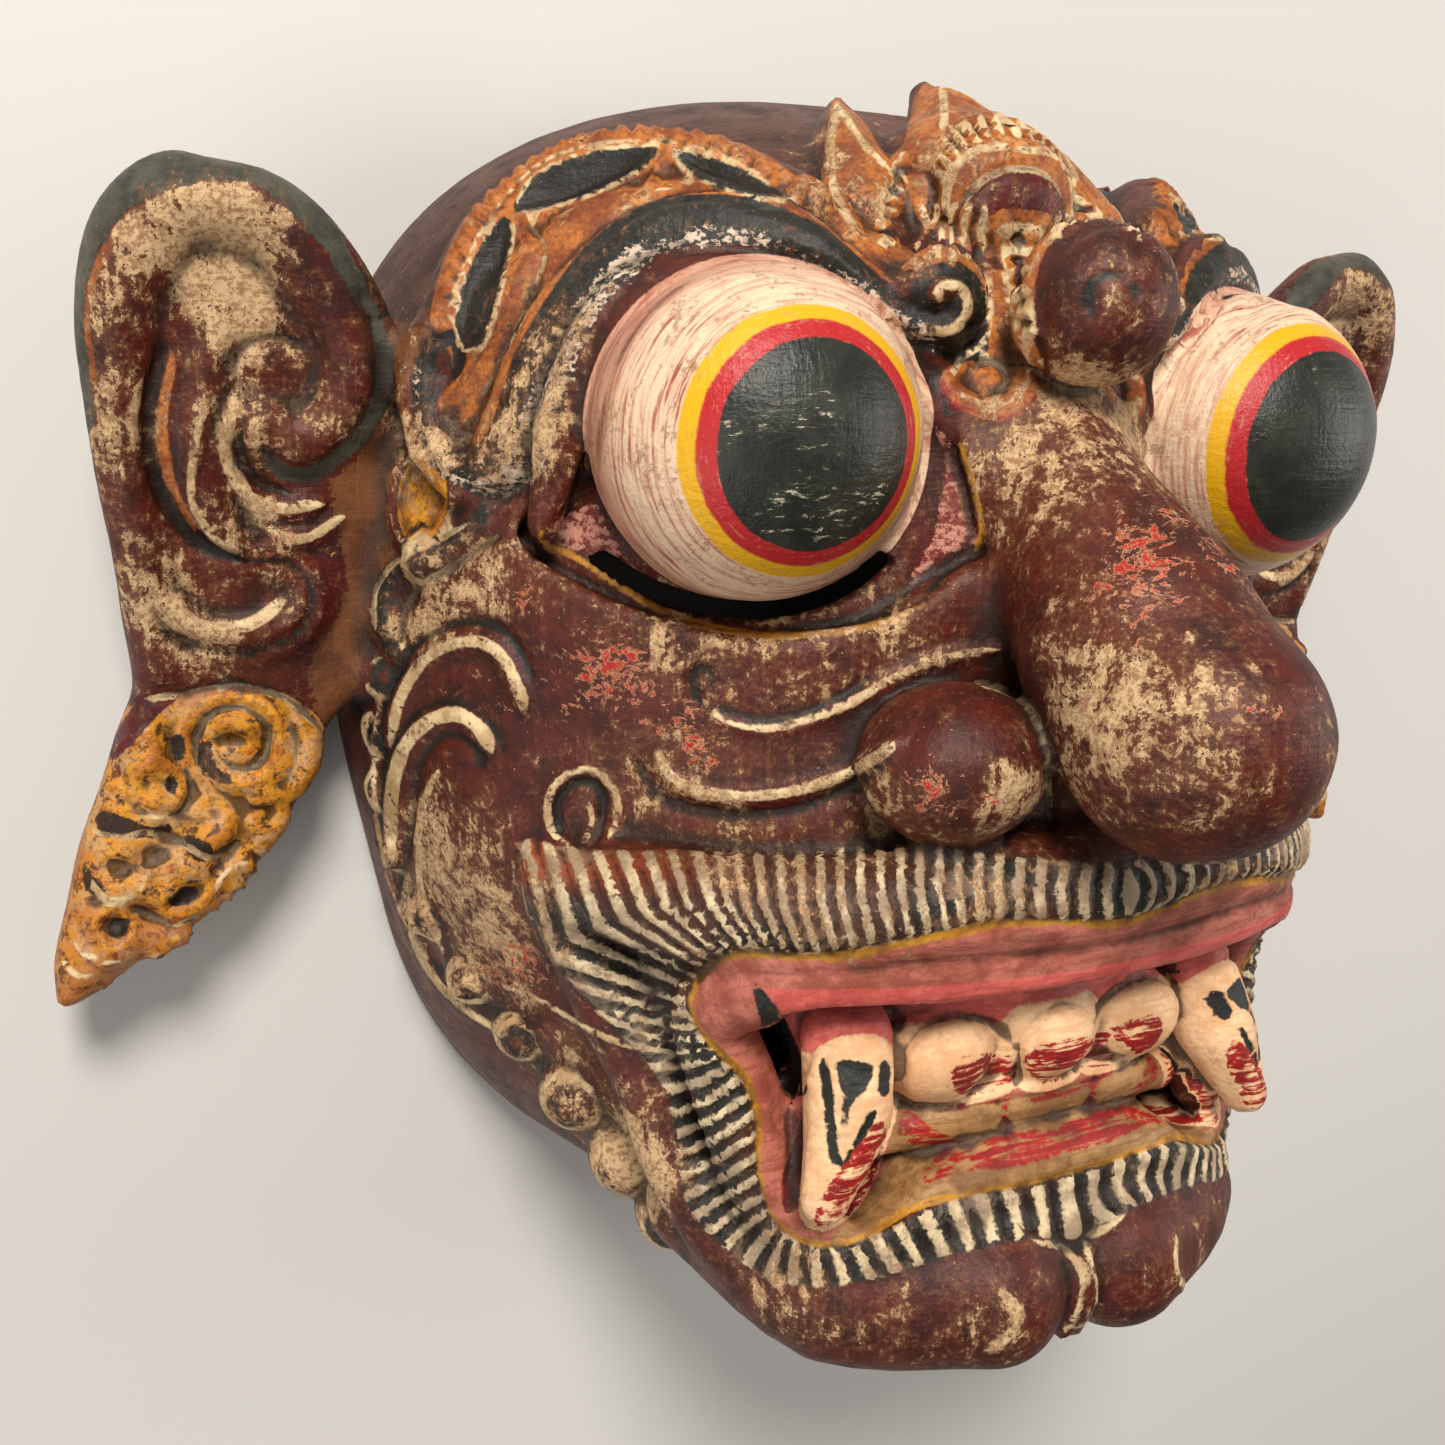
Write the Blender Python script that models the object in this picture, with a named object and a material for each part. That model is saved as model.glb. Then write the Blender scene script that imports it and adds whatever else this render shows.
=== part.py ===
# Rakshasa mask: one piece of carved and painted wood, hollow behind for the wearer's face.
# It lies on its back rim with the face up: +X runs from ear to ear, +Y towards the crown,
# +Z out of the face. Origin: middle of the whole outline, on the rim plane.
# The carving is worked out in sculpt units, which are shares of the mask's own height.

import bpy
import numpy as np

# Driving sizes, in metres
MASK_HEIGHT = 0.2436
WALL = 0.009
EYE_SLIT = 0.0032
EAR_THICKNESS = 0.014
BALL_WALL = 0.009

# Sculpt units: the carving is drawn 243.6 units high, from chin to crown
DRAWN_HEIGHT = 243.6
UNIT = MASK_HEIGHT / DRAWN_HEIGHT
MIDDLE_Y = -9.3

# Fineness of the solid
CELL = 2.4
COARSE_CELLS = 8
TRIANGLES = 9600

# Eyes
EYE_CENTRE = (50.0, 41.0, 89.0)
EYE_RADIUS = 27.0
SLIT_HALF_ANGLE = 47.0
SOCKET_DEPTH = 5.0
SOCKET = [(82, 24), (70, 14), (50, 8), (32, 12), (20, 19), (13, 20), (15, 30),
          (22, 42), (33, 54), (44, 60), (56, 60), (65, 54), (71, 43), (77, 33)]
LID = [(80, 27, 71), (77, 44, 74), (70, 58, 78), (58, 66, 83), (44, 67, 88), (31, 60, 92), (23, 47, 94),
       (18, 31, 95)]

# Mouth
LIP_RADIUS = 7.0
LIPS = [(0, -45.5, 114), (18, -45, 113), (36, -45, 110), (51, -46.5, 103), (58.5, -53.5, 91), (57, -63, 89),
        (54, -75, 91), (50, -87, 92), (44, -95, 96), (36, -96, 101), (26, -92.5, 104), (14, -89, 105),
        (0, -87.5, 105)]
MOUTH = [(0, -50), (24, -50.5), (41, -49.5), (53, -51), (50, -61), (46, -72), (45, -84), (40, -92),
         (32, -90), (25, -84), (12, -81), (0, -80), (-12, -81), (-12, -50)]
MOUTH_DEPTH = 5.5
CORNER_SLOT = [(49.6, -54.5), (48.8, -61), (48, -66), (47, -71), (43.6, -70), (44.4, -65), (46, -60)]
SLOT_TOP = 98.0
FANG = [(38.5, -60, 100), (41, -71, 104.5), (46.5, -84, 107)]
FANG_RADII = [8.0, 7.5, 4.2]

# Ears
EAR = [(92, 5), (88, 40), (99, 53), (107, 61), (115, 72), (123, 82), (130, 86), (137, 84), (143, 78),
       (146.5, 70), (148, 58), (147, 47), (145, 30), (144, 12), (143, 2), (143, -4), (146, -11),
       (149.5, -21), (154, -32), (157, -43), (160, -54), (159.5, -61), (153, -59), (144, -53),
       (134.5, -48), (126, -42), (122, -36), (119, -33), (114.5, -25), (110, -18), (109, -13), (104, -7)]
EAR_EDGE_ROUND = 5.0


# Paths through chosen points
def through(points, closed=False, steps=5):
    """Smooth path through the points."""
    P = np.asarray(points, float)
    if closed:
        ring = np.vstack([P[-1], P, P[:2]])
        spans = len(P)
    else:
        ring = np.vstack([2 * P[0] - P[1], P, 2 * P[-1] - P[-2]])
        spans = len(P) - 1
    t = np.arange(steps)[:, None] / steps
    parts = []
    for i in range(spans):
        a, b, c, d = ring[i:i + 4]
        bend = (2 * a - 5 * b + 4 * c - d) * t ** 2 + (3 * b - a - 3 * c + d) * t ** 3
        parts.append(0.5 * (2 * b + (c - a) * t + bend))
    if not closed:
        parts.append(P[-1:])
    return np.vstack(parts)


# Signed distances, in sculpt units, negative inside
def egg(p, centre, radii):
    q = p - np.asarray(centre, float)
    r = np.asarray(radii, float)
    k = np.linalg.norm(q / r, axis=1)
    slope = np.linalg.norm(q / r ** 2, axis=1)
    return k * (k - 1) / np.maximum(slope, 1e-9)


def ball(p, centre, radius):
    return np.linalg.norm(p - np.asarray(centre, float), axis=1) - radius


def dome(p, centre, radii, squareness):
    """Egg whose front outline is a rounded square."""
    n = squareness
    q = np.abs(p - np.asarray(centre, float)) / np.asarray(radii, float)
    s = q[:, 0] ** n + q[:, 1] ** n + 1e-9
    k = np.sqrt(s ** (2 / n) + q[:, 2] ** 2) + 1e-9
    g = s ** (2 / n - 1) / k
    gx = g * q[:, 0] ** (n - 1) / radii[0]
    gy = g * q[:, 1] ** (n - 1) / radii[1]
    gz = q[:, 2] / k / radii[2]
    return (k - 1) / np.sqrt(gx ** 2 + gy ** 2 + gz ** 2 + 1e-12)


def to_line(p, path):
    """Distance to a path, and the share of the way along it of the nearest point."""
    best = np.full(len(p), 1e12)
    share = np.zeros(len(p))
    for i in range(len(path) - 1):
        a = path[i]
        ab = path[i + 1] - a
        t = np.clip((p - a) @ ab / (ab @ ab + 1e-12), 0, 1)
        d = ((p - a - t[:, None] * ab) ** 2).sum(1)
        nearer = d < best
        best[nearer] = d[nearer]
        share[nearer] = (i + t[nearer]) / (len(path) - 1)
    return np.sqrt(best), share


def tube(p, points, radii):
    """Round bar along a smooth path, its radius given at each of the chosen points."""
    d, share = to_line(p, through(points))
    return d - np.interp(share, np.linspace(0, 1, len(radii)), radii)


def outline(x, y, path):
    """Distance in the front plane to a closed path."""
    best = np.full(len(x), 1e12)
    within = np.zeros(len(x), bool)
    for (ax, ay), (bx, by) in zip(path, np.roll(path, -1, 0)):
        ex = bx - ax
        ey = by - ay
        t = np.clip(((x - ax) * ex + (y - ay) * ey) / (ex * ex + ey * ey + 1e-12), 0, 1)
        best = np.minimum(best, (x - ax - t * ex) ** 2 + (y - ay - t * ey) ** 2)
        crosses = (ay > y) != (by > y)
        within ^= crosses & (x < ax + ex * (y - ay) / (ey if ey else 1e-9))
    return np.where(within, -1, 1) * np.sqrt(best)


# Joining and cutting with a rounded seam of size k
def join(a, b, k):
    h = np.clip(0.5 + 0.5 * (b - a) / k, 0, 1)
    return b + (a - b) * h - k * h * (1 - h)


def cut(a, b, k):
    return -join(-a, b, k)


def both(a, b, k):
    return -join(-a, -b, k)


def boxed(q, low, high, room):
    return np.all((q > np.asarray(low, float) - room) & (q < np.asarray(high, float) + room), axis=1)


def add(d, q, reach, low, high, k, shape):
    """Join a shape that lies between low and high."""
    m = boxed(q, low, high, reach + k + 2)
    if m.any():
        d[m] = join(d[m], shape(q[m]), k)
    return d


# The carving
SOCKET_PATH = through(SOCKET, True, 4)
MOUTH_PATH = through(MOUTH, True, 4)
SLOT_PATH = through(CORNER_SLOT, True, 3)
EAR_PATH = through(EAR, True, 3)


def skull(p):
    d = dome(p, (0, 18, 0), (105, 94.5, 107), 2.45)
    d = join(d, dome(p, (0, -31, 0), (98, 100, 92), 2.2), 14)
    return join(d, dome(p, (0, -50, 42), (71, 76, 71), 2.6), 14)


def ear(q):
    flat = outline(q[:, 0], q[:, 1], EAR_PATH)
    level = 19 + 24 * np.clip((q[:, 1] + 12) / 90, 0, 1)
    thick = np.abs(q[:, 2] - level) - EAR_THICKNESS / UNIT / 2
    d = both(flat, thick, EAR_EDGE_ROUND)
    # rolled rim, inner folds and the lobe
    face = level + EAR_THICKNESS / UNIT / 2
    for path, radii, lift in EAR_ROLLS:
        line, share = to_line(q[:, :2], path)
        r = np.interp(share, np.linspace(0, 1, len(radii)), radii)
        d = join(d, np.hypot(line, q[:, 2] - face + lift) - r, 1.5)
    return d


EAR_ROLLS = [
    (through([(138, 2), (140, 20), (142, 40), (141, 62), (133, 76), (120, 77), (110, 68), (104, 56),
              (106, 45), (114, 40), (121, 43)]), [3.5, 4.5, 5, 6, 6.5, 7, 7.5, 7.5, 7, 6.5, 6], 2.5),
    (through([(126, 60), (130, 45), (129, 30), (123, 20), (114, 24)]), [3, 4, 4.5, 4, 3], 2),
    (through([(136, 12), (128, 6), (116, 7), (112, 15), (118, 21)]), [3, 4.5, 5, 4, 3], 2),
    (through([(128, -10), (119, -9), (116, -17), (123, -22), (129, -16)]), [4, 4.5, 4.5, 4.5, 4], 2),
    (through([(142, -14), (140, -24), (146, -30)]), [4, 4, 4], 2),
    (through([(131, -30), (139, -38), (148, -40)]), [4, 4.5, 4], 2),
    (through([(140, -48), (150, -50), (156, -55)]), [3.5, 4, 2.5], 2),
]


def features(p, h, reach):
    """Everything that stands out of the skull or is sunk in it, right and left alike."""
    q = p.copy()
    q[:, 0] = np.abs(q[:, 0])
    d = h.copy()
    # cheek and brow
    d = add(d, q, reach, (42, -70, 0), (99, 14, 76), 8, lambda q: egg(q, (68, -24, 34), (26, 38, 36)))
    d = add(d, q, reach, (10, 30, 36), (100, 90, 102), 8, lambda q: tube(
        q, [(24, 62, 91), (45, 75, 75), (64, 72, 63), (80, 58, 52), (86, 44, 47)], [6, 7.5, 8, 8, 6]))
    # eye socket
    m = boxed(q, (10, 4, 50), (86, 72, 130), reach + 6)
    if m.any():
        hollow = both(outline(q[m, 0], q[m, 1], SOCKET_PATH), -(h[m] + SOCKET_DEPTH), 1)
        d[m] = cut(d[m], hollow, 3)
    # nose and its wings
    d = add(d, q, reach, (0, -12, 78), (20, 60, 144), 8, lambda q: tube(
        q, [(0, 46, 91), (0, 27, 108), (0, 9, 123)], [12, 14, 19]))
    d = add(d, q, reach, (0, -26, 110), (22, 14, 160), 8, lambda q: egg(q, (0, -5, 136.5), (19.5, 19.5, 21.5)))
    d = add(d, q, reach, (10, -26, 96), (44, 4, 129), 3, lambda q: egg(q, (27, -11, 113), (15.5, 13, 15)))
    # crown of leaves and dome over the forehead ball
    d = add(d, q, reach, (0, 64, 46), (21, 101, 98), 4, lambda q: egg(q, (0, 82, 71), (19.5, 16.5, 22)))
    d = add(d, q, reach, (9, 70, 44), (32, 108, 88), 2, lambda q: tube(
        q, [(24, 78, 76), (20, 90, 66), (14, 102, 52)], [8, 7, 2.2]))
    d = add(d, q, reach, (0, 88, 50), (9, 112, 82), 2, lambda q: tube(
        q, [(0, 91, 71), (0, 97, 66), (0, 104, 60)], [9, 7, 2.8]))
    d = add(d, q, reach, (0, 48, 98), (13, 74, 124), 2, lambda q: ball(q, (0, 61, 111), 13))
    # brow roll with its curls, and the plate above it
    d = add(d, q, reach, (20, 30, 40), (104, 82, 104), 2, lambda q: tube(
        q, [(22, 56, 98), (32, 62, 95), (46, 72.5, 85), (62, 71, 75), (75, 58, 67), (81, 44, 64),
            (87, 34, 58), (93, 40, 51), (94, 52, 48), (92, 58, 50)], [4, 4.5, 6, 6.5, 6.5, 6.5, 5, 4.5, 4, 3]))
    d = add(d, q, reach, (12, 52, 90), (30, 72, 106), 1, lambda q: egg(q, (21, 62, 98), (8.5, 8.5, 6)))
    d = add(d, q, reach, (34, 50, 30), (98, 98, 92), 3, lambda q: tube(
        q, [(37, 79, 82), (49, 85.5, 64.5), (65, 84.5, 52), (80, 73, 47), (90, 59, 48)], [4, 7, 8, 7.5, 5]))
    # eyeball
    d = add(d, q, reach, (22, 13, 61), (78, 69, 117), 1, lambda q: ball(q, EYE_CENTRE, EYE_RADIUS))
    d = add(d, q, reach, (16, 26, 70), (82, 72, 102), 2, lambda q: tube(
        q, LID, [3, 4.5, 5.5, 5.5, 5.5, 5, 4, 3]))
    # moustache and beard swelling round the mouth, then lips and the hollow between them
    d = add(d, q, reach, (0, -46, 60), (82, -20, 124), 5, lambda q: tube(
        q, [(0, -34, 115), (20, -34, 114), (40, -34.5, 110), (59, -36, 95), (73, -36, 73)], [10, 9.5, 9, 9, 8]))
    d = add(d, q, reach, (0, -112, 60), (84, -32, 112), 4, lambda q: tube(
        q, [(76, -36, 66), (70, -54, 67), (64, -72, 74), (60, -88, 79), (52, -101, 87), (37, -104, 98),
            (18, -99, 105), (0, -98, 107)], [8, 8, 7, 7, 7, 7, 7, 7]))
    d = add(d, q, reach, (0, -106, 74), (68, -36, 122), 4, lambda q: tube(
        q, LIPS, [LIP_RADIUS, LIP_RADIUS]))
    m = boxed(q, (0, -96, 60), (56, -48, 125), reach + 5)
    if m.any():
        hollow = both(outline(q[m, 0], q[m, 1], MOUTH_PATH), -(h[m] + MOUTH_DEPTH), 1)
        d[m] = cut(d[m], hollow, 1.5)
    # teeth, lower teeth and fangs
    d = add(d, q, reach, (0, -74, 94), (12, -54, 112), 1, lambda q: egg(q, (0, -63.5, 102), (11.5, 9.5, 9.5)))
    d = add(d, q, reach, (10, -74, 92), (33, -56, 111), 1, lambda q: egg(q, (21.3, -65, 100), (11, 9, 9.5)))
    d = add(d, q, reach, (0, -82, 92), (34, -72, 108), 2, lambda q: tube(
        q, [(0, -76, 103), (16, -77, 102), (32, -80, 97)], [4.5, 4.5]))
    d = add(d, q, reach, (34, -92, 86), (50, -56, 103), 2, lambda q: tube(
        q, [(38, -62, 94), (40, -74, 95), (43, -85, 98)], [5, 5, 5]))
    d = add(d, q, reach, (30, -90, 90), (56, -52, 115), 1, lambda q: tube(q, FANG, FANG_RADII))
    # chin bulbs with the tuft between
    d = add(d, q, reach, (0, -128, 50), (64, -92, 120), 3, lambda q: tube(
        q, [(53, -101, 70), (38, -107.5, 94), (14, -108, 108)], [10, 14.5, 14]))
    d = add(d, q, reach, (0, -120, 100), (6, -96, 122), 2, lambda q: tube(
        q, [(0, -99, 108), (0, -107, 114), (0, -116, 112)], [4.5, 5, 3.5]))
    # row of hair curls along the edge of the face
    for x, y, z, r in SIDE_CURLS:
        d = add(d, q, reach, (x - r, y - r, z - r), (x + r, y + r, z + r), 1.5,
                lambda q, c=(x, y, z), r=r: ball(q, c, r))
    return add(d, q, reach, (80, -60, 12), (163, 88, 54), 5, ear)


SIDE_CURLS = [(91, 20, 45, 7), (95, 10, 33, 6.5), (96, -2, 28, 6.5), (96, -14, 22, 6.5), (96, -26, 19, 6),
              (93, -39, 21, 6), (90, -51, 26, 6), (84, -63, 32, 6.5), (77, -73, 41, 6.5), (69.5, -83.5, 50, 8),
              (61, -96, 56, 8.5), (54, -107, 61, 8)]


def mask(p, reach):
    """The whole mask: carved front, hollow back, slits and rim plane."""
    h = skull(p)
    d = features(p, h, reach)
    q = p.copy()
    q[:, 0] = np.abs(q[:, 0])
    # slots at the corners of the mouth
    m = boxed(q, (42, -73, 40), (54, -51, SLOT_TOP), reach + 2)
    if m.any():
        slot = both(outline(q[m, 0], q[m, 1], SLOT_PATH), q[m, 2] - SLOT_TOP, 0.5)
        d[m] = cut(d[m], slot, 0.5)
    # looking slits under the eyeballs
    m = boxed(q, (16, 2, 50), (84, 42, 105), reach + 2)
    if m.any():
        x = q[m, 0] - EYE_CENTRE[0]
        y = q[m, 1] - EYE_CENTRE[1]
        half = EYE_SLIT / UNIT / 2
        ring = np.abs(np.hypot(x, y) - EYE_RADIUS - half) - half
        ends = (np.abs(np.degrees(np.arctan2(x, -y))) - SLIT_HALF_ANGLE) * 0.5
        slit = np.maximum(np.maximum(ring, ends), -ball(q[m], EYE_CENTRE, EYE_RADIUS))
        d[m] = cut(d[m], slit, 0.4)
    # flat rim and hollow back
    d = both(d, -p[:, 2], 0.4)
    hollow = h + WALL / UNIT
    r = EYE_RADIUS - BALL_WALL / UNIT
    hollow = add(hollow, q, reach, (32, 23, 71), (68, 59, 107), 6, lambda q: ball(q, EYE_CENTRE, r))
    return cut(d, hollow, 2)


# Solid from the carving: cells are searched from coarse to fine, then each fine cell is split
# in six and its share of the surface is laid in triangles
def surface(low, high, cell):
    low = np.asarray(low, float)
    high = np.asarray(high, float)
    level = COARSE_CELLS
    count = np.ceil((high - low) / (cell * level)).astype(int)
    grid = np.stack(np.meshgrid(*[np.arange(k) for k in count], indexing="ij"), -1).reshape(-1, 3)
    eighths = np.stack(np.meshgrid([0, 1], [0, 1], [0, 1], indexing="ij"), -1).reshape(-1, 3)
    while True:
        d = mask(low + (grid + 0.5) * level * cell, level * cell * 1.1)
        grid = grid[np.abs(d) < level * cell * 1.15 + 0.01]
        if level == 1:
            break
        level //= 2
        grid = (grid[:, None] * 2 + eighths).reshape(-1, 3)
    size = np.ceil((high - low) / cell).astype(int) + 2
    corner = grid[:, None] + eighths
    key = (corner[..., 0] * size[1] + corner[..., 1]) * size[2] + corner[..., 2]
    nodes, index = np.unique(key.ravel(), return_inverse=True)
    index = index.reshape(-1, 8)
    place = np.stack([nodes // (size[1] * size[2]), nodes // size[2] % size[1], nodes % size[2]], 1)
    place = low + place * cell
    value = mask(place, 0.0)
    index = index[(value[index] < 0).any(1) & ~(value[index] < 0).all(1)]
    triangles = []
    for first, second in [(4, 2), (4, 1), (2, 4), (2, 1), (1, 4), (1, 2)]:
        tet = index[:, [0, first, first + second, 7]]
        inside = value[tet] < 0
        for a in range(4):
            others = [i for i in range(4) if i != a]
            alone = (inside[:, a] != inside[:, others[0]]) & (inside[:, others[0]] == inside[:, others[1]])
            alone &= inside[:, others[0]] == inside[:, others[2]]
            t = tet[alone]
            triangles.append(np.stack([t[:, [a, i]] for i in others], 1))
        for a, b, c, e in [(0, 1, 2, 3), (0, 2, 1, 3), (0, 3, 1, 2)]:
            pair = (inside[:, a] == inside[:, b]) & (inside[:, c] == inside[:, e])
            pair &= inside[:, a] != inside[:, c]
            t = tet[pair]
            triangles.append(np.stack([t[:, [a, c]], t[:, [a, e]], t[:, [b, e]]], 1))
            triangles.append(np.stack([t[:, [a, c]], t[:, [b, e]], t[:, [b, c]]], 1))
    ends = np.vstack(triangles)
    ends = np.sort(ends, axis=2)
    code = ends[..., 0].astype(np.int64) * len(nodes) + ends[..., 1]
    edge, face = np.unique(code.ravel(), return_inverse=True)
    face = face.reshape(-1, 3)
    a = edge // len(nodes)
    b = edge % len(nodes)
    t = np.clip(value[a] / (value[a] - value[b]), 0.06, 0.94)[:, None]
    point = place[a] + t * (place[b] - place[a])
    normal = np.cross(point[face[:, 1]] - point[face[:, 0]], point[face[:, 2]] - point[face[:, 0]])
    outward = (place[ends[..., 1]] - place[ends[..., 0]]) * np.where(value[ends[..., 1]] > 0, 1, -1)[..., None]
    wrong = (normal * outward.sum(1)).sum(1) < 0
    face[wrong] = face[wrong][:, ::-1]
    return largest(point, face)


def largest(point, face):
    """Only the one closed body: crumbs where two rounded seams meet are left out."""
    label = np.arange(len(point))
    while True:
        low = label[face].min(1)
        after = label.copy()
        for column in range(3):
            np.minimum.at(after, face[:, column], low)
        after = after[after]
        if (after == label).all():
            break
        label = after
    names, counts = np.unique(label, return_counts=True)
    kept = label == names[counts.argmax()]
    number = np.cumsum(kept) - 1
    return point[kept], number[face[kept[face[:, 0]]]]


for old in list(bpy.data.objects):
    bpy.data.objects.remove(old)

wood = bpy.data.materials.new("painted wood")
wood.use_nodes = True
shader = wood.node_tree.nodes["Principled BSDF"]
shader.inputs["Base Color"].default_value = (0.10, 0.03, 0.02, 1)
shader.inputs["Roughness"].default_value = 0.5

points, faces = surface((-168, -136, -6), (168, 124, 166), CELL)
points = (points - (0, MIDDLE_Y, 0)) * UNIT
mesh = bpy.data.meshes.new("mask")
mesh.from_pydata(points.tolist(), [], faces.tolist())
mesh.materials.append(wood)
mesh.update()
body = bpy.data.objects.new("mask", mesh)
bpy.context.scene.collection.objects.link(body)
fewer = body.modifiers.new("fewer triangles", "DECIMATE")
fewer.ratio = TRIANGLES / len(faces)
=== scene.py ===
# Looks of the rakshasa mask: one carved and painted wooden piece that lies on its back rim.
# The same carving as the solid is worked out on a finer grid, then the small relief is cut
# into it and the worn paint is laid on with procedural materials.

import bpy
import numpy as np
from mathutils import Matrix, Vector


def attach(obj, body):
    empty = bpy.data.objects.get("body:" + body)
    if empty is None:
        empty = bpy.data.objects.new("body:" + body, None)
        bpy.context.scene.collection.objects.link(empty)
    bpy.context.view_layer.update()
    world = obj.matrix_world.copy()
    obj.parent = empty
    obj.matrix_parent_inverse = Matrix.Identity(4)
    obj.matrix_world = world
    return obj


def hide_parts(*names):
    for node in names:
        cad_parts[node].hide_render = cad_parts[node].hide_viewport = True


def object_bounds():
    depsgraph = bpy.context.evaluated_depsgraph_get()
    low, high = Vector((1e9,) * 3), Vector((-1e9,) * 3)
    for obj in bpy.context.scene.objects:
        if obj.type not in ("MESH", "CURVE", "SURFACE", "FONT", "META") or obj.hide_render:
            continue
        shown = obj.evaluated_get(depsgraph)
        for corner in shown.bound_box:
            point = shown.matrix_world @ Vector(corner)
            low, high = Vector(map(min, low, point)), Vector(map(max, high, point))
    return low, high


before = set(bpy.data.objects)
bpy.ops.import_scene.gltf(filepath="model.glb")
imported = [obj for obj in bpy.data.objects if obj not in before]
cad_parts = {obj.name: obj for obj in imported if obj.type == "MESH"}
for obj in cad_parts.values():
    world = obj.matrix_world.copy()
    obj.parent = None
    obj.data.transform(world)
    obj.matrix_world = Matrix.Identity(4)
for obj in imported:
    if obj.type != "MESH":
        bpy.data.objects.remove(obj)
CAD_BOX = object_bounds()

# Sizes in metres, as in the solid; all others are in sculpt units, which are UNIT metres long
MASK_HEIGHT = 0.2436
WALL = 0.009
EYE_SLIT = 0.0032
EAR_THICKNESS = 0.014
BALL_WALL = 0.009
DRAWN_HEIGHT = 243.6
UNIT = MASK_HEIGHT / DRAWN_HEIGHT
MIDDLE_Y = -9.3

# Fineness of the mesh
CELL = 1.15
COARSE_CELLS = 8
TRIANGLES = 188000
FRONT_SHARE = 0.12

# Eyes
EYE_CENTRE = (50.0, 41.0, 89.0)
EYE_RADIUS = 27.0
EYE_AXIS = np.array([0.055, -0.115, 0.99])
EYE_AXIS /= np.linalg.norm(EYE_AXIS)
BALL_LOWEST = 66
SLIT_HALF_ANGLE = 47.0
SOCKET_DEPTH = 5.0
SOCKET = [(82, 24), (70, 14), (50, 8), (32, 12), (20, 19), (13, 20), (15, 30),
          (22, 42), (33, 54), (44, 60), (56, 60), (65, 54), (71, 43), (77, 33)]
LID = [(80, 27, 71), (77, 44, 74), (70, 58, 78), (58, 66, 83), (44, 67, 88), (31, 60, 92), (23, 47, 94),
       (18, 31, 95)]

# Mouth
LIP_RADIUS = 7.0
LIPS = [(0, -45.5, 114), (18, -45, 113), (36, -45, 110), (51, -46.5, 103), (58.5, -53.5, 91), (57, -63, 89),
        (54, -75, 91), (50, -87, 92), (44, -95, 96), (36, -96, 101), (26, -92.5, 104), (14, -89, 105),
        (0, -87.5, 105)]
MOUTH = [(0, -50), (24, -50.5), (41, -49.5), (53, -51), (50, -61), (46, -72), (45, -84), (40, -92),
         (32, -90), (25, -84), (12, -81), (0, -80), (-12, -81), (-12, -50)]
MOUTH_DEPTH = 5.5
CORNER_SLOT = [(49.6, -54.5), (48.8, -61), (48, -66), (47, -71), (43.6, -70), (44.4, -65), (46, -60)]
SLOT_TOP = 98.0
FRONT_TOOTH = ((0, -63.5, 102), (11.5, 9.5, 9.5))
SIDE_TOOTH = ((21.3, -65, 100), (11, 9, 9.5))
FANG = [(38.5, -60, 100), (41, -71, 104.5), (46.5, -84, 107)]
FANG_RADII = [8.0, 7.5, 4.2]

# Ears
EAR = [(92, 5), (88, 40), (99, 53), (107, 61), (115, 72), (123, 82), (130, 86), (137, 84), (143, 78),
       (146.5, 70), (148, 58), (147, 47), (145, 30), (144, 12), (143, 2), (143, -4), (146, -11),
       (149.5, -21), (154, -32), (157, -43), (160, -54), (159.5, -61), (153, -59), (144, -53),
       (134.5, -48), (126, -42), (122, -36), (119, -33), (114.5, -25), (110, -18), (109, -13), (104, -7)]
EAR_EDGE_ROUND = 5.0


# Paths through chosen points
def through(points, closed=False, steps=5):
    """Smooth path through the points."""
    P = np.asarray(points, float)
    if closed:
        ring = np.vstack([P[-1], P, P[:2]])
        spans = len(P)
    else:
        ring = np.vstack([2 * P[0] - P[1], P, 2 * P[-1] - P[-2]])
        spans = len(P) - 1
    t = np.arange(steps)[:, None] / steps
    parts = []
    for i in range(spans):
        a, b, c, d = ring[i:i + 4]
        bend = (2 * a - 5 * b + 4 * c - d) * t ** 2 + (3 * b - a - 3 * c + d) * t ** 3
        parts.append(0.5 * (2 * b + (c - a) * t + bend))
    if not closed:
        parts.append(P[-1:])
    return np.vstack(parts)


# Signed distances, in sculpt units, negative inside
def egg(p, centre, radii):
    q = p - np.asarray(centre, float)
    r = np.asarray(radii, float)
    k = np.linalg.norm(q / r, axis=1)
    slope = np.linalg.norm(q / r ** 2, axis=1)
    return k * (k - 1) / np.maximum(slope, 1e-9)


def ball(p, centre, radius):
    return np.linalg.norm(p - np.asarray(centre, float), axis=1) - radius


def dome(p, centre, radii, squareness):
    """Egg whose front outline is a rounded square."""
    n = squareness
    q = np.abs(p - np.asarray(centre, float)) / np.asarray(radii, float)
    s = q[:, 0] ** n + q[:, 1] ** n + 1e-9
    k = np.sqrt(s ** (2 / n) + q[:, 2] ** 2) + 1e-9
    g = s ** (2 / n - 1) / k
    gx = g * q[:, 0] ** (n - 1) / radii[0]
    gy = g * q[:, 1] ** (n - 1) / radii[1]
    gz = q[:, 2] / k / radii[2]
    return (k - 1) / np.sqrt(gx ** 2 + gy ** 2 + gz ** 2 + 1e-12)


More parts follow.
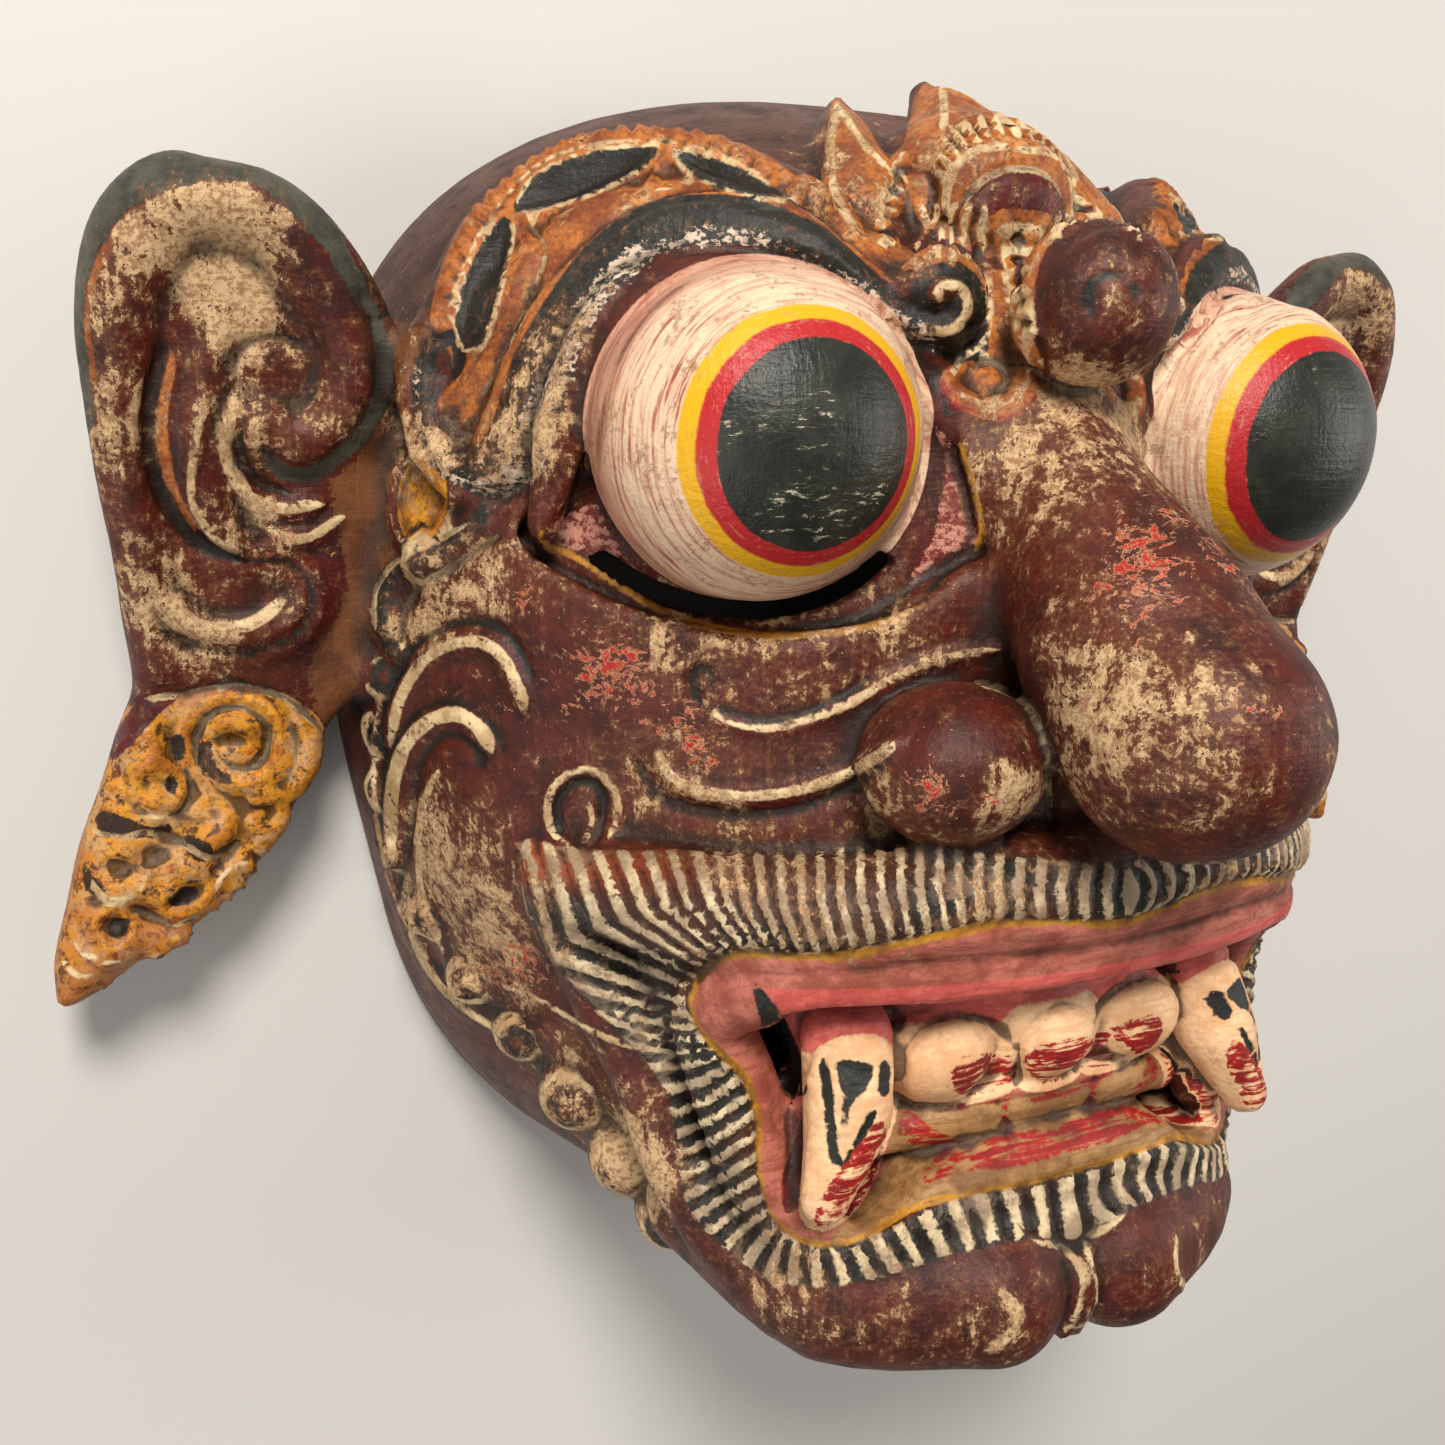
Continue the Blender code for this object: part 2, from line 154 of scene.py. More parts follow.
def to_line(p, path):
    """Distance to a path, and the share of the way along it of the nearest point."""
    best = np.full(len(p), 1e12)
    share = np.zeros(len(p))
    for i in range(len(path) - 1):
        a = path[i]
        ab = path[i + 1] - a
        t = np.clip((p - a) @ ab / (ab @ ab + 1e-12), 0, 1)
        d = ((p - a - t[:, None] * ab) ** 2).sum(1)
        nearer = d < best
        best[nearer] = d[nearer]
        share[nearer] = (i + t[nearer]) / (len(path) - 1)
    return np.sqrt(best), share


def tube(p, points, radii):
    """Round bar along a smooth path, its radius given at each of the chosen points."""
    d, share = to_line(p, through(points))
    return d - np.interp(share, np.linspace(0, 1, len(radii)), radii)


def outline(x, y, path):
    """Distance in the front plane to a closed path."""
    best = np.full(len(x), 1e12)
    within = np.zeros(len(x), bool)
    for (ax, ay), (bx, by) in zip(path, np.roll(path, -1, 0)):
        ex = bx - ax
        ey = by - ay
        t = np.clip(((x - ax) * ex + (y - ay) * ey) / (ex * ex + ey * ey + 1e-12), 0, 1)
        best = np.minimum(best, (x - ax - t * ex) ** 2 + (y - ay - t * ey) ** 2)
        crosses = (ay > y) != (by > y)
        within ^= crosses & (x < ax + ex * (y - ay) / (ey if ey else 1e-9))
    return np.where(within, -1, 1) * np.sqrt(best)


# Joining and cutting with a rounded seam of size k
def join(a, b, k):
    h = np.clip(0.5 + 0.5 * (b - a) / k, 0, 1)
    return b + (a - b) * h - k * h * (1 - h)


def cut(a, b, k):
    return -join(-a, b, k)


def both(a, b, k):
    return -join(-a, -b, k)


def boxed(q, low, high, room):
    return np.all((q > np.asarray(low, float) - room) & (q < np.asarray(high, float) + room), axis=1)


def add(d, q, reach, low, high, k, shape):
    """Join a shape that lies between low and high."""
    m = boxed(q, low, high, reach + k + 2)
    if m.any():
        d[m] = join(d[m], shape(q[m]), k)
    return d


# The carving
SOCKET_PATH = through(SOCKET, True, 4)
MOUTH_PATH = through(MOUTH, True, 4)
SLOT_PATH = through(CORNER_SLOT, True, 3)
EAR_PATH = through(EAR, True, 3)


def skull(p):
    d = dome(p, (0, 18, 0), (105, 94.5, 107), 2.45)
    d = join(d, dome(p, (0, -31, 0), (98, 100, 92), 2.2), 14)
    return join(d, dome(p, (0, -50, 42), (71, 76, 71), 2.6), 14)


def ear(q):
    flat = outline(q[:, 0], q[:, 1], EAR_PATH)
    level = 19 + 24 * np.clip((q[:, 1] + 12) / 90, 0, 1)
    thick = np.abs(q[:, 2] - level) - EAR_THICKNESS / UNIT / 2
    d = both(flat, thick, EAR_EDGE_ROUND)
    # rolled rim, inner folds and the lobe
    face = level + EAR_THICKNESS / UNIT / 2
    for path, radii, lift in EAR_ROLLS:
        line, share = to_line(q[:, :2], path)
        r = np.interp(share, np.linspace(0, 1, len(radii)), radii)
        d = join(d, np.hypot(line, q[:, 2] - face + lift) - r, 1.5)
    return d


EAR_ROLLS = [
    (through([(138, 2), (140, 20), (142, 40), (141, 62), (133, 76), (120, 77), (110, 68), (104, 56),
              (106, 45), (114, 40), (121, 43)]), [3.5, 4.5, 5, 6, 6.5, 7, 7.5, 7.5, 7, 6.5, 6], 2.5),
    (through([(126, 60), (130, 45), (129, 30), (123, 20), (114, 24)]), [3, 4, 4.5, 4, 3], 2),
    (through([(136, 12), (128, 6), (116, 7), (112, 15), (118, 21)]), [3, 4.5, 5, 4, 3], 2),
    (through([(128, -10), (119, -9), (116, -17), (123, -22), (129, -16)]), [4, 4.5, 4.5, 4.5, 4], 2),
    (through([(142, -14), (140, -24), (146, -30)]), [4, 4, 4], 2),
    (through([(131, -30), (139, -38), (148, -40)]), [4, 4.5, 4], 2),
    (through([(140, -48), (150, -50), (156, -55)]), [3.5, 4, 2.5], 2),
]


def features(p, h, reach):
    """Everything that stands out of the skull or is sunk in it, right and left alike."""
    q = p.copy()
    q[:, 0] = np.abs(q[:, 0])
    d = h.copy()
    # cheek and brow
    d = add(d, q, reach, (42, -70, 0), (99, 14, 76), 8, lambda q: egg(q, (68, -24, 34), (26, 38, 36)))
    d = add(d, q, reach, (10, 30, 36), (100, 90, 102), 8, lambda q: tube(
        q, [(24, 62, 91), (45, 75, 75), (64, 72, 63), (80, 58, 52), (86, 44, 47)], [6, 7.5, 8, 8, 6]))
    # eye socket
    m = boxed(q, (10, 4, 50), (86, 72, 130), reach + 6)
    if m.any():
        hollow = both(outline(q[m, 0], q[m, 1], SOCKET_PATH), -(h[m] + SOCKET_DEPTH), 1)
        d[m] = cut(d[m], hollow, 3)
    # nose and its wings
    d = add(d, q, reach, (0, -12, 78), (20, 60, 144), 8, lambda q: tube(
        q, [(0, 46, 91), (0, 27, 108), (0, 9, 123)], [12, 14, 19]))
    d = add(d, q, reach, (0, -26, 110), (22, 14, 160), 8, lambda q: egg(
        q, (0, -5, 136.5), (19.5, 19.5, 21.5)))
    d = add(d, q, reach, (10, -26, 96), (44, 4, 129), 3, lambda q: egg(q, (27, -11, 113), (15.5, 13, 15)))
    # crown of leaves and dome over the forehead ball
    d = add(d, q, reach, (0, 64, 46), (21, 101, 98), 4, lambda q: egg(q, (0, 82, 71), (19.5, 16.5, 22)))
    d = add(d, q, reach, (9, 70, 44), (32, 108, 88), 2, lambda q: tube(
        q, [(24, 78, 76), (20, 90, 66), (14, 102, 52)], [8, 7, 2.2]))
    d = add(d, q, reach, (0, 88, 50), (9, 112, 82), 2, lambda q: tube(
        q, [(0, 91, 71), (0, 97, 66), (0, 104, 60)], [9, 7, 2.8]))
    d = add(d, q, reach, (0, 48, 98), (13, 74, 124), 2, lambda q: ball(q, (0, 61, 111), 13))
    # brow roll with its curls, and the plate above it
    d = add(d, q, reach, (20, 30, 40), (104, 82, 104), 2, lambda q: tube(
        q, [(22, 56, 98), (32, 62, 95), (46, 72.5, 85), (62, 71, 75), (75, 58, 67), (81, 44, 64),
            (87, 34, 58), (93, 40, 51), (94, 52, 48), (92, 58, 50)],
        [4, 4.5, 6, 6.5, 6.5, 6.5, 5, 4.5, 4, 3]))
    d = add(d, q, reach, (12, 52, 90), (30, 72, 106), 1, lambda q: egg(q, (21, 62, 98), (8.5, 8.5, 6)))
    d = add(d, q, reach, (34, 50, 30), (98, 98, 92), 3, lambda q: tube(
        q, [(37, 79, 82), (49, 85.5, 64.5), (65, 84.5, 52), (80, 73, 47), (90, 59, 48)], [4, 7, 8, 7.5, 5]))
    # eyeball
    d = add(d, q, reach, (22, 13, 61), (78, 69, 117), 1, lambda q: ball(q, EYE_CENTRE, EYE_RADIUS))
    d = add(d, q, reach, (16, 26, 70), (82, 72, 102), 2, lambda q: tube(
        q, LID, [3, 4.5, 5.5, 5.5, 5.5, 5, 4, 3]))
    # moustache and beard swelling round the mouth, then lips and the hollow between them
    d = add(d, q, reach, (0, -46, 60), (82, -20, 124), 5, lambda q: tube(
        q, [(0, -34, 115), (20, -34, 114), (40, -34.5, 110), (59, -36, 95), (73, -36, 73)],
        [10, 9.5, 9, 9, 8]))
    d = add(d, q, reach, (0, -112, 60), (84, -32, 112), 4, lambda q: tube(
        q, [(76, -36, 66), (70, -54, 67), (64, -72, 74), (60, -88, 79), (52, -101, 87), (37, -104, 98),
            (18, -99, 105), (0, -98, 107)], [8, 8, 7, 7, 7, 7, 7, 7]))
    d = add(d, q, reach, (0, -106, 74), (68, -36, 122), 4, lambda q: tube(
        q, LIPS, [LIP_RADIUS, LIP_RADIUS]))
    m = boxed(q, (0, -96, 60), (56, -48, 125), reach + 5)
    if m.any():
        hollow = both(outline(q[m, 0], q[m, 1], MOUTH_PATH), -(h[m] + MOUTH_DEPTH), 1)
        d[m] = cut(d[m], hollow, 1.5)
    # teeth, lower teeth and fangs
    d = add(d, q, reach, (0, -74, 94), (12, -54, 112), 1, lambda q: egg(q, *FRONT_TOOTH))
    d = add(d, q, reach, (10, -74, 92), (33, -56, 111), 1, lambda q: egg(q, *SIDE_TOOTH))
    d = add(d, q, reach, (0, -82, 92), (34, -72, 108), 2, lambda q: tube(
        q, [(0, -76, 103), (16, -77, 102), (32, -80, 97)], [4.5, 4.5]))
    d = add(d, q, reach, (34, -92, 86), (50, -56, 103), 2, lambda q: tube(
        q, [(38, -62, 94), (40, -74, 95), (43, -85, 98)], [5, 5, 5]))
    d = add(d, q, reach, (30, -90, 90), (56, -52, 115), 1, lambda q: tube(q, FANG, FANG_RADII))
    # chin bulbs with the tuft between
    d = add(d, q, reach, (0, -128, 50), (64, -92, 120), 3, lambda q: tube(
        q, [(53, -101, 70), (38, -107.5, 94), (14, -108, 108)], [10, 14.5, 14]))
    d = add(d, q, reach, (0, -120, 100), (6, -96, 122), 2, lambda q: tube(
        q, [(0, -99, 108), (0, -107, 114), (0, -116, 112)], [4.5, 5, 3.5]))
    # row of hair curls along the edge of the face
    for x, y, z, r in SIDE_CURLS:
        d = add(d, q, reach, (x - r, y - r, z - r), (x + r, y + r, z + r), 1.5,
                lambda q, c=(x, y, z), r=r: ball(q, c, r))
    return add(d, q, reach, (80, -60, 12), (163, 88, 54), 5, ear)


SIDE_CURLS = [(91, 20, 45, 7), (95, 10, 33, 6.5), (96, -2, 28, 6.5), (96, -14, 22, 6.5),
              (96, -26, 19, 6), (93, -39, 21, 6), (90, -51, 26, 6), (84, -63, 32, 6.5),
              (77, -73, 41, 6.5), (69.5, -83.5, 50, 8), (61, -96, 56, 8.5), (54, -107, 61, 8)]


def mask(p, reach):
    """The whole mask: carved front, hollow back, slits and rim plane."""
    h = skull(p)
    d = features(p, h, reach)
    q = p.copy()
    q[:, 0] = np.abs(q[:, 0])
    # slots at the corners of the mouth
    m = boxed(q, (42, -73, 40), (54, -51, SLOT_TOP), reach + 2)
    if m.any():
        slot = both(outline(q[m, 0], q[m, 1], SLOT_PATH), q[m, 2] - SLOT_TOP, 0.5)
        d[m] = cut(d[m], slot, 0.5)
    # looking slits under the eyeballs
    m = boxed(q, (16, 2, 50), (84, 42, 105), reach + 2)
    if m.any():
        x = q[m, 0] - EYE_CENTRE[0]
        y = q[m, 1] - EYE_CENTRE[1]
        half = EYE_SLIT / UNIT / 2
        ring = np.abs(np.hypot(x, y) - EYE_RADIUS - half) - half
        ends = (np.abs(np.degrees(np.arctan2(x, -y))) - SLIT_HALF_ANGLE) * 0.5
        slit = np.maximum(np.maximum(ring, ends), -ball(q[m], EYE_CENTRE, EYE_RADIUS))
        d[m] = cut(d[m], slit, 0.4)
    # flat rim and hollow back
    d = both(d, -p[:, 2], 0.4)
    hollow = h + WALL / UNIT
    r = EYE_RADIUS - BALL_WALL / UNIT
    hollow = add(hollow, q, reach, (32, 23, 71), (68, 59, 107), 6, lambda q: ball(q, EYE_CENTRE, r))
    return cut(d, hollow, 2)


# Fine surface from the carving: one point in each cell that the surface crosses
def nets(low, high, cell):
    low = np.asarray(low, float)
    high = np.asarray(high, float)
    level = COARSE_CELLS
    count = np.ceil((high - low) / (cell * level)).astype(int)
    grid = np.stack(np.meshgrid(*[np.arange(k) for k in count], indexing="ij"), -1).reshape(-1, 3)
    eighths = np.stack(np.meshgrid([0, 1], [0, 1], [0, 1], indexing="ij"), -1).reshape(-1, 3)
    while True:
        d = mask(low + (grid + 0.5) * level * cell, level * cell * 1.1)
        grid = grid[np.abs(d) < level * cell * 1.1 + 0.01]
        if level == 1:
            break
        level //= 2
        grid = (grid[:, None] * 2 + eighths).reshape(-1, 3)
    size = np.ceil((high - low) / cell).astype(int) + 2
    corner = grid[:, None] + eighths
    key = (corner[..., 0] * size[1] + corner[..., 1]) * size[2] + corner[..., 2]
    nodes, index = np.unique(key.ravel(), return_inverse=True)
    place = np.stack([nodes // (size[1] * size[2]), nodes // size[2] % size[1], nodes % size[2]], 1)
    value = mask(low + place * cell, 0.0)[index].reshape(-1, 8)
    inside = value < 0
    crossed = inside.any(1) & ~inside.all(1)
    grid = grid[crossed]
    value = value[crossed]
    total = np.zeros((len(grid), 3))
    hits = np.zeros(len(grid))
    for a in range(8):
        for bit in (1, 2, 4):
            b = a | bit
            if b == a:
                continue
            cross = (value[:, a] < 0) != (value[:, b] < 0)
            t = np.where(cross, value[:, a] / np.where(cross, value[:, a] - value[:, b], 1), 0)
            total += (eighths[a] + t[:, None] * (eighths[b] - eighths[a])) * cross[:, None]
            hits += cross
    point = low + (grid + total / hits[:, None]) * cell
    own = (grid[:, 0] * size[1] + grid[:, 1]) * size[2] + grid[:, 2]
    order = np.argsort(own)
    own = own[order]

    def cell_at(c):
        k = (c[:, 0] * size[1] + c[:, 1]) * size[2] + c[:, 2]
        i = np.minimum(np.searchsorted(own, k), len(own) - 1)
        return np.where(own[i] == k, order[i], -1)

    faces = []
    for axis in range(3):
        along = 4 >> axis
        cross = (value[:, 0] < 0) != (value[:, along] < 0)
        c = grid[cross]
        one = np.eye(3, dtype=int)[(axis + 1) % 3]
        two = np.eye(3, dtype=int)[(axis + 2) % 3]
        quad = np.stack([cell_at(c), cell_at(c - one), cell_at(c - one - two), cell_at(c - two)], 1)
        quad = np.where((value[cross, 0] < 0)[:, None], quad, quad[:, ::-1])
        faces.append(quad[(quad >= 0).all(1)])
    return largest(point, np.vstack(faces))


def largest(point, face):
    """Only the one closed body: crumbs where two rounded seams meet are left out."""
    label = np.arange(len(point))
    while True:
        low = label[face].min(1)
        after = label.copy()
        for column in range(face.shape[1]):
            np.minimum.at(after, face[:, column], low)
        after = after[after]
        if (after == label).all():
            break
        label = after
    names, counts = np.unique(label, return_counts=True)
    kept = label == names[counts.argmax()]
    number = np.cumsum(kept) - 1
    return point[kept], number[face[kept[face[:, 0]]]]


# The small relief and the paint are drawn on one half, as it looks from the eye point, and
# mirrored. A drawing's points are in steps of 1/1445 of the frame, its widths in sculpt units.
FRAME = 1445
FOCAL = 1396.42
EYE_POINT = np.array([-153.5, 33.9, 294.7])
RIGHT = np.array([0.90338746, -0.00684355, 0.42877064])
UP = np.array([0.07986409, 0.98506431, -0.15254516])
BACK = np.array([-0.42132271, 0.17205077, 0.8904413])


def listed(text):
    """Rows of words, a colon and points; each point is written x,y, and a row may run on."""
    rows = []
    for line in text.strip().splitlines():
        if line.strip().startswith("#"):
            continue
        words, colon, points = line.rpartition(":")
        if colon:
            rows.append((words.split(), []))
        rows[-1][1].extend(tuple(map(int, point.split(","))) for point in points.split())
    return rows


def carved(text):
    return [(points, float(width), float(height), None if paint == "-" else paint, float(spread))
            for (width, height, paint, spread), points in listed(text)]


LIP_EDGE = """
  1235,897 1170,918 1110,924 1050,921 1000,923 950,934 900,943 850,955 800,956 740,953 705,968 689,1000
  696,1030 722,1055 746,1080 757,1120 757,1170 766,1210 790,1236 830,1247 862,1238 890,1220 930,1202
  1000,1191 1060,1177 1110,1163 1205,1142"""
BROW_FOLD = """
  985,362 940,353 900,332 860,293 810,263 750,245 700,244 650,257 620,286 595,321 578,356 565,400 552,440
  535,475 505,497 470,492 432,464 416,420 413,380"""
LOW_PANEL = "455,325 462,285 480,245 505,215 513,235 502,285 484,345 462,348"
MIDDLE_PANEL = "512,210 530,180 560,162 600,150 656,146 650,163 620,182 580,199 540,210"
TOP_PANEL = "672,148 700,154 740,167 775,188 797,200 760,198 715,186 685,168"
# Carved lines: width, height (negative for a groove), paint on them and its width
LINES = carved(f"""
# cheek curls, smile folds and the wing of the nose
3.6 1.3 cream 2: 390,745 399,702 420,664 450,645 480,642 503,657 519,690 524,712
1.8 -0.9 black 1.5: 388,690 412,648 448,626 485,622 512,640 532,680
4.2 1.3 cream 2.6: 392,865 391,800 402,752 425,724 455,714 479,728 492,752
1.6 -0.8 black 1.2: 398,900 410,830 418,770 440,738 466,740 482,760 476,768
1.6 -0.8 black 1: 384,850 382,790 394,745 420,712 456,702 486,718 502,748
1.6 -0.6 black 0.9: 380,760 382,720 400,676 424,654
2.4 0.5 cream 1.3: 440,768 425,800 418,850 424,905 445,955
2.4 0.6 cream 1.4: 405,880 408,920 425,965 460,1005 505,1035
1.6 -0.6 black 1: 430,958 460,990 500,1010
2 0.5 cream 0.9: 640,1050 590,1030 540,1000 500,985
1.8 0.6 cream 0.8: 382,690 374,760 378,830 395,900 430,960
2.4 1 cream 1.4: 703,700 722,718 760,728 800,722 850,703 890,680 930,662 1000,648
1.8 -0.9 black 1.4: 716,680 703,668 693,678 697,697 722,712 765,720 810,712 870,680
2.8 1.1 cream 1.8: 656,748 667,772 690,788 740,796 790,792 840,777 880,755 902,740
2.4 -1 black 1.3: 636,762 655,795 690,810 740,816 800,808 855,783 892,758
1.6 -0.3 - 0: 1000,676 965,686 930,712 908,745 902,780 912,820 935,846
2 -0.5 cream 1.1: 975,682 1008,690 1034,716 1047,760 1050,830
# lids
1.6 -0.7 black 1.1: 545,528 565,548 620,572 660,600 720,618 800,625 870,618 920,600 955,562 985,548
1.8 0.5 ochre 1.3: 541,525 546,545 575,556 620,586 660,610 700,624 760,635 820,634 880,624 925,606
2 -0.8 black 0.8: 960,450 945,410 925,362 890,318 830,282 760,264 700,272 655,300 625,337 605,382
  596,430 588,475 560,520
2.4 -0.9 - 0: 985,405 955,360 915,318 870,288 815,262 760,250 705,250 655,266 620,300 592,350 578,400
  566,450 548,500
1.8 0.5 yellow 1: 960,440 972,480 982,530 975,552
1.4 -0.6 black 0.8: 952,445 965,490 972,535
# brow roll: groove above it, fold below it, curl at each end
2 -1 - 0: 985,328 955,318 925,310 900,296 870,268 830,232 790,212 745,197 700,194 655,200 615,222
  580,252 552,290 530,325 512,360 500,400 486,432
2 -0.9 black 0.6: {BROW_FOLD} 420,345 438,325
3 -0.9 black 2.6: 930,347 965,345 981,316 975,285 955,271 930,274 919,295 930,312 951,311 958,296
2.4 0.9 cream 1.6: 925,330 950,331 967,314 965,293 950,284 937,291 942,301
2.4 -1 black 2.2: 436,345 450,336 460,350 455,372 444,374
# brow plate: ribs, panel edges
1.6 -0.6 cream 0.6: 446,322 460,272 482,229 506,196 536,166 574,149 620,141 664,141 712,151 762,176
  800,206
2.2 0.9 deep 1: 640,204 668,150 630,180 595,199 560,213 522,219 527,250 508,300 482,350 455,392 438,408
2 0.7 deep 0.9: 668,150 700,176 750,194 800,212 850,250
1.4 -0.6 cream 0.7: 527,222 545,250 530,300 505,350 480,400
1.4 -0.5 cream 0.7: 670,158 690,180 660,190 620,210
1.6 0.7 cream 0.8: {LOW_PANEL} 455,325
1.6 0.7 cream 0.7: {MIDDLE_PANEL} 512,210
1.6 0.7 cream 0.7: {TOP_PANEL} 672,148
# crest: leaves, stem and foot
2.2 0.9 cream 1.4: 838,100 831,140 834,190 858,235
2 0.8 cream 1.3: 841,108 862,142 888,168
1.6 -0.7 deep 1: 828,120 817,165 806,205
2 0.8 cream 1.4: 942,84 944,110 943,132
2 -0.9 deep 1: 888,250 885,215 893,182 915,168 930,184 928,220
1.8 0.8 cream 0.9: 905,150 890,175 882,205 886,250
2 0.8 cream 1.3: 945,215 948,185 962,160 1000,146 1045,158 1072,186
1.8 -0.8 deep 0.9: 935,205 930,175 944,145 975,126 1010,120
1.8 -0.8 cream 1.2: 962,204 980,182 1005,170 1045,172 1074,192
3 1 cream 1: 1000,214 1004,260 1010,310 1022,345 1030,372 1014,398 985,404 955,392
2.4 0.8 cream 1.2: 985,250 990,300 985,340 962,358 950,378
2 -0.8 cream 1: 970,372 985,360 1004,370 1002,390 985,396
1.6 -0.9 cream 0.8: 1016,220 1018,270 1025,320 1038,350 1043,378
1.6 0.4 red 1.3: 940,378 955,402 985,418 1015,414 1036,396 1046,368
2.4 0.8 cream 0.8: 1036,335 1029,292 1043,248 1078,218 1118,212 1150,245 1162,290
1.8 -0.9 - 0: 1044,330 1038,294 1050,256 1082,228 1116,222 1144,250
# temple leaf and hair
2 0.7 cream 0.8: 392,500 400,468 430,452 452,488 443,530 415,550 396,530 392,500
4.2 1.1 black 3.2: 492,505 466,530 430,550 396,568 383,596 384,628 398,660
1.6 -0.8 cream 0.9: 470,522 435,542 398,560 376,590 375,630
2 -0.8 cream 1.3: 500,535 455,566 420,588 402,622 404,655
# moustache curl
2.2 0.9 cream 1.2: 575,850 553,833 548,800 565,776 592,770 613,788 618,818 606,842
2 -0.9 black 1.6: 560,838 556,805 572,784 592,782 603,800 600,822
2 0.7 cream 0.9: 585,842 592,820 588,802
# lips
1.8 -0.7 ochre 1.7: 1290,882 {LIP_EDGE}
1.6 -0.5 - 0: 760,975 850,970 960,960 1060,952 1150,940
1.6 -0.7 red 0.8: 905,1105 950,1108 1000,1102 1060,1095 1120,1088
# teeth
1.6 -0.9 black 0.5: 903,1078 905,1050 925,1025 965,1017 1000,1028 1015,1055 1016,1085
1.6 -0.9 black 0.5: 1018,1080 1020,1050 1038,1018 1075,1000 1110,1010 1122,1040 1122,1068
1.6 -0.9 black 0.5: 1112,1012 1130,990 1160,978 1190,995 1199,1030 1196,1052
1.6 -0.7 black 0.4: 803,1080 814,1048 850,1034 885,1038 899,1062 896,1110
1.4 -0.7 red 1.2: 1000,1100 1006,1118 1003,1130
1 -0.3 ink 1.4: 842,1066 855,1072 872,1072
1 -0.3 ink 1.2: 845,1085 858,1090 868,1086
1.4 -0.7 red 0.9: 1095,1085 1100,1100
1.2 -0.5 ink 1.9: 823,1058 828,1100 833,1150 838,1165
1.2 -0.5 ink 1.9: 886,1062 883,1095
1.2 -0.5 ink 1.5: 875,1110 858,1142 842,1172
# chin folds and the tuft
2.4 0.9 cream 1.2: 1020,1238 1062,1248 1082,1272 1080,1305 1062,1335
2.2 0.6 cream 1.6: 1000,1288 1016,1312 1010,1335 985,1352
2.4 -1 black 1: 1050,1240 1092,1262 1100,1300 1084,1332
2 0.9 cream 1: 1128,1245 1130,1285 1108,1318
1.8 -0.8 black 1: 1115,1250 1118,1285 1096,1322
2 0.8 cream 0.9: 1108,1262 1100,1300 1075,1334
1.8 -0.8 black 0.9: 1148,1235 1150,1275 1120,1316
# ear
2.6 -1.6 black 1.9: 166,345 153,400 151,440 158,480 175,515 200,545 245,563
2.6 0.6 orange 2.6: 172,350 161,410 163,460 174,500 194,533
3.4 1.2 cream 2.2: 240,395 227,430 229,468 246,494 278,508 325,503
2.6 0.7 cream 1.6: 238,470 262,520 300,540 345,515
2.4 -0.9 black 1: 226,372 240,350 272,338 300,345
2 0.7 cream 1.3: 206,398 196,440 192,500 214,538 243,553
1.8 -1.2 black 0.6: 245,400 238,430 241,462 258,483 290,494
3.4 -1.2 grey 3: 262,452 290,474 328,466 362,432 383,390 380,335 362,290
1.4 -0.4 black 0.9: 374,395 374,340 360,292
2.2 -1.1 black 1.4: 243,562 288,564 312,590 305,625 270,648 220,653 172,638 152,612
3.2 0.8 cream 2.4: 165,598 200,626 250,624 286,598
1.2 -0.5 black 1.3: 375,322 386,312 392,318
# pendant: big spiral, small ones, lobes and the upper seam
3 1.3 bright 2: 208,790 190,765 186,735 200,708 232,697 265,705 280,735 268,770 238,783 212,770 205,742
  222,722 248,728 250,748 232,752
1.6 -0.9 cream 1.1: 196,770 196,735 215,712 245,708 268,728 264,760 240,770 220,757
2.4 1.1 bright 1.8: 160,808 142,798 136,780 148,767 170,768 181,784 174,802 157,800 156,786
1.6 -0.7 cream 1.1: 140,812 165,818 186,806 192,785 182,765
2 0.9 bright 1.6: 104,790 125,790 128,808 110,815 106,802
2.4 1.2 bright 1.3: 97,868 108,852 128,852 138,868 128,886 108,886 104,872
2.2 1 bright 1.5: 140,895 150,878 176,868 203,876 208,896 190,912 165,910 163,895 178,890
2.4 1.2 bright 1.2: 92,940 96,918 116,908 133,922 128,942 106,948 103,934
2.4 1 bright 1.8: 195,815 210,800 228,812 224,836 204,842
2.2 1.2 bright 1: 252,800 276,796 282,816 266,832 254,820 262,810
2.4 1 bright 1.4: 298,716 314,738 310,775 292,795
1.8 -0.8 cream 1: 285,722 297,745 292,775 275,792
2.2 1 bright 1.6: 118,752 142,735 156,745 148,764 126,768
1.8 -0.8 cream 1.3: 140,702 180,694 235,687 285,698 318,728
1.8 0.7 cream 1.1: 62,960 76,975 98,978
1.8 0.7 cream 1.1: 75,940 85,955 105,962
1.6 0.7 cream 1: 92,880 100,896 118,900 138,892 147,874
1.6 0.7 cream 1: 88,950 100,962 122,960 138,946
2 0.9 cream 0.9: 250,860 226,872 214,892
2 0.9 bright 1.4: 300,812 280,838 255,848
2 0.9 bright 1.3: 150,960 170,942 196,930
2 0.9 cream 0.9: 120,985 142,966 160,952
1.8 -0.9 cream 1: 90,830 120,838 150,832 180,842 210,858 240,842
1.8 -0.8 cream 0.9: 84,900 110,904 140,912 175,925 200,915
""")
# Lines found on one side only, drawn without mirroring
SINGLE = carved("""
1.8 -0.9 black 1.6: 1092,318 1088,298 1096,280 1114,274 1132,284 1138,302
1.4 -0.5 cream 0.6: 1100,316 1098,300 1108,288 1122,290
""")
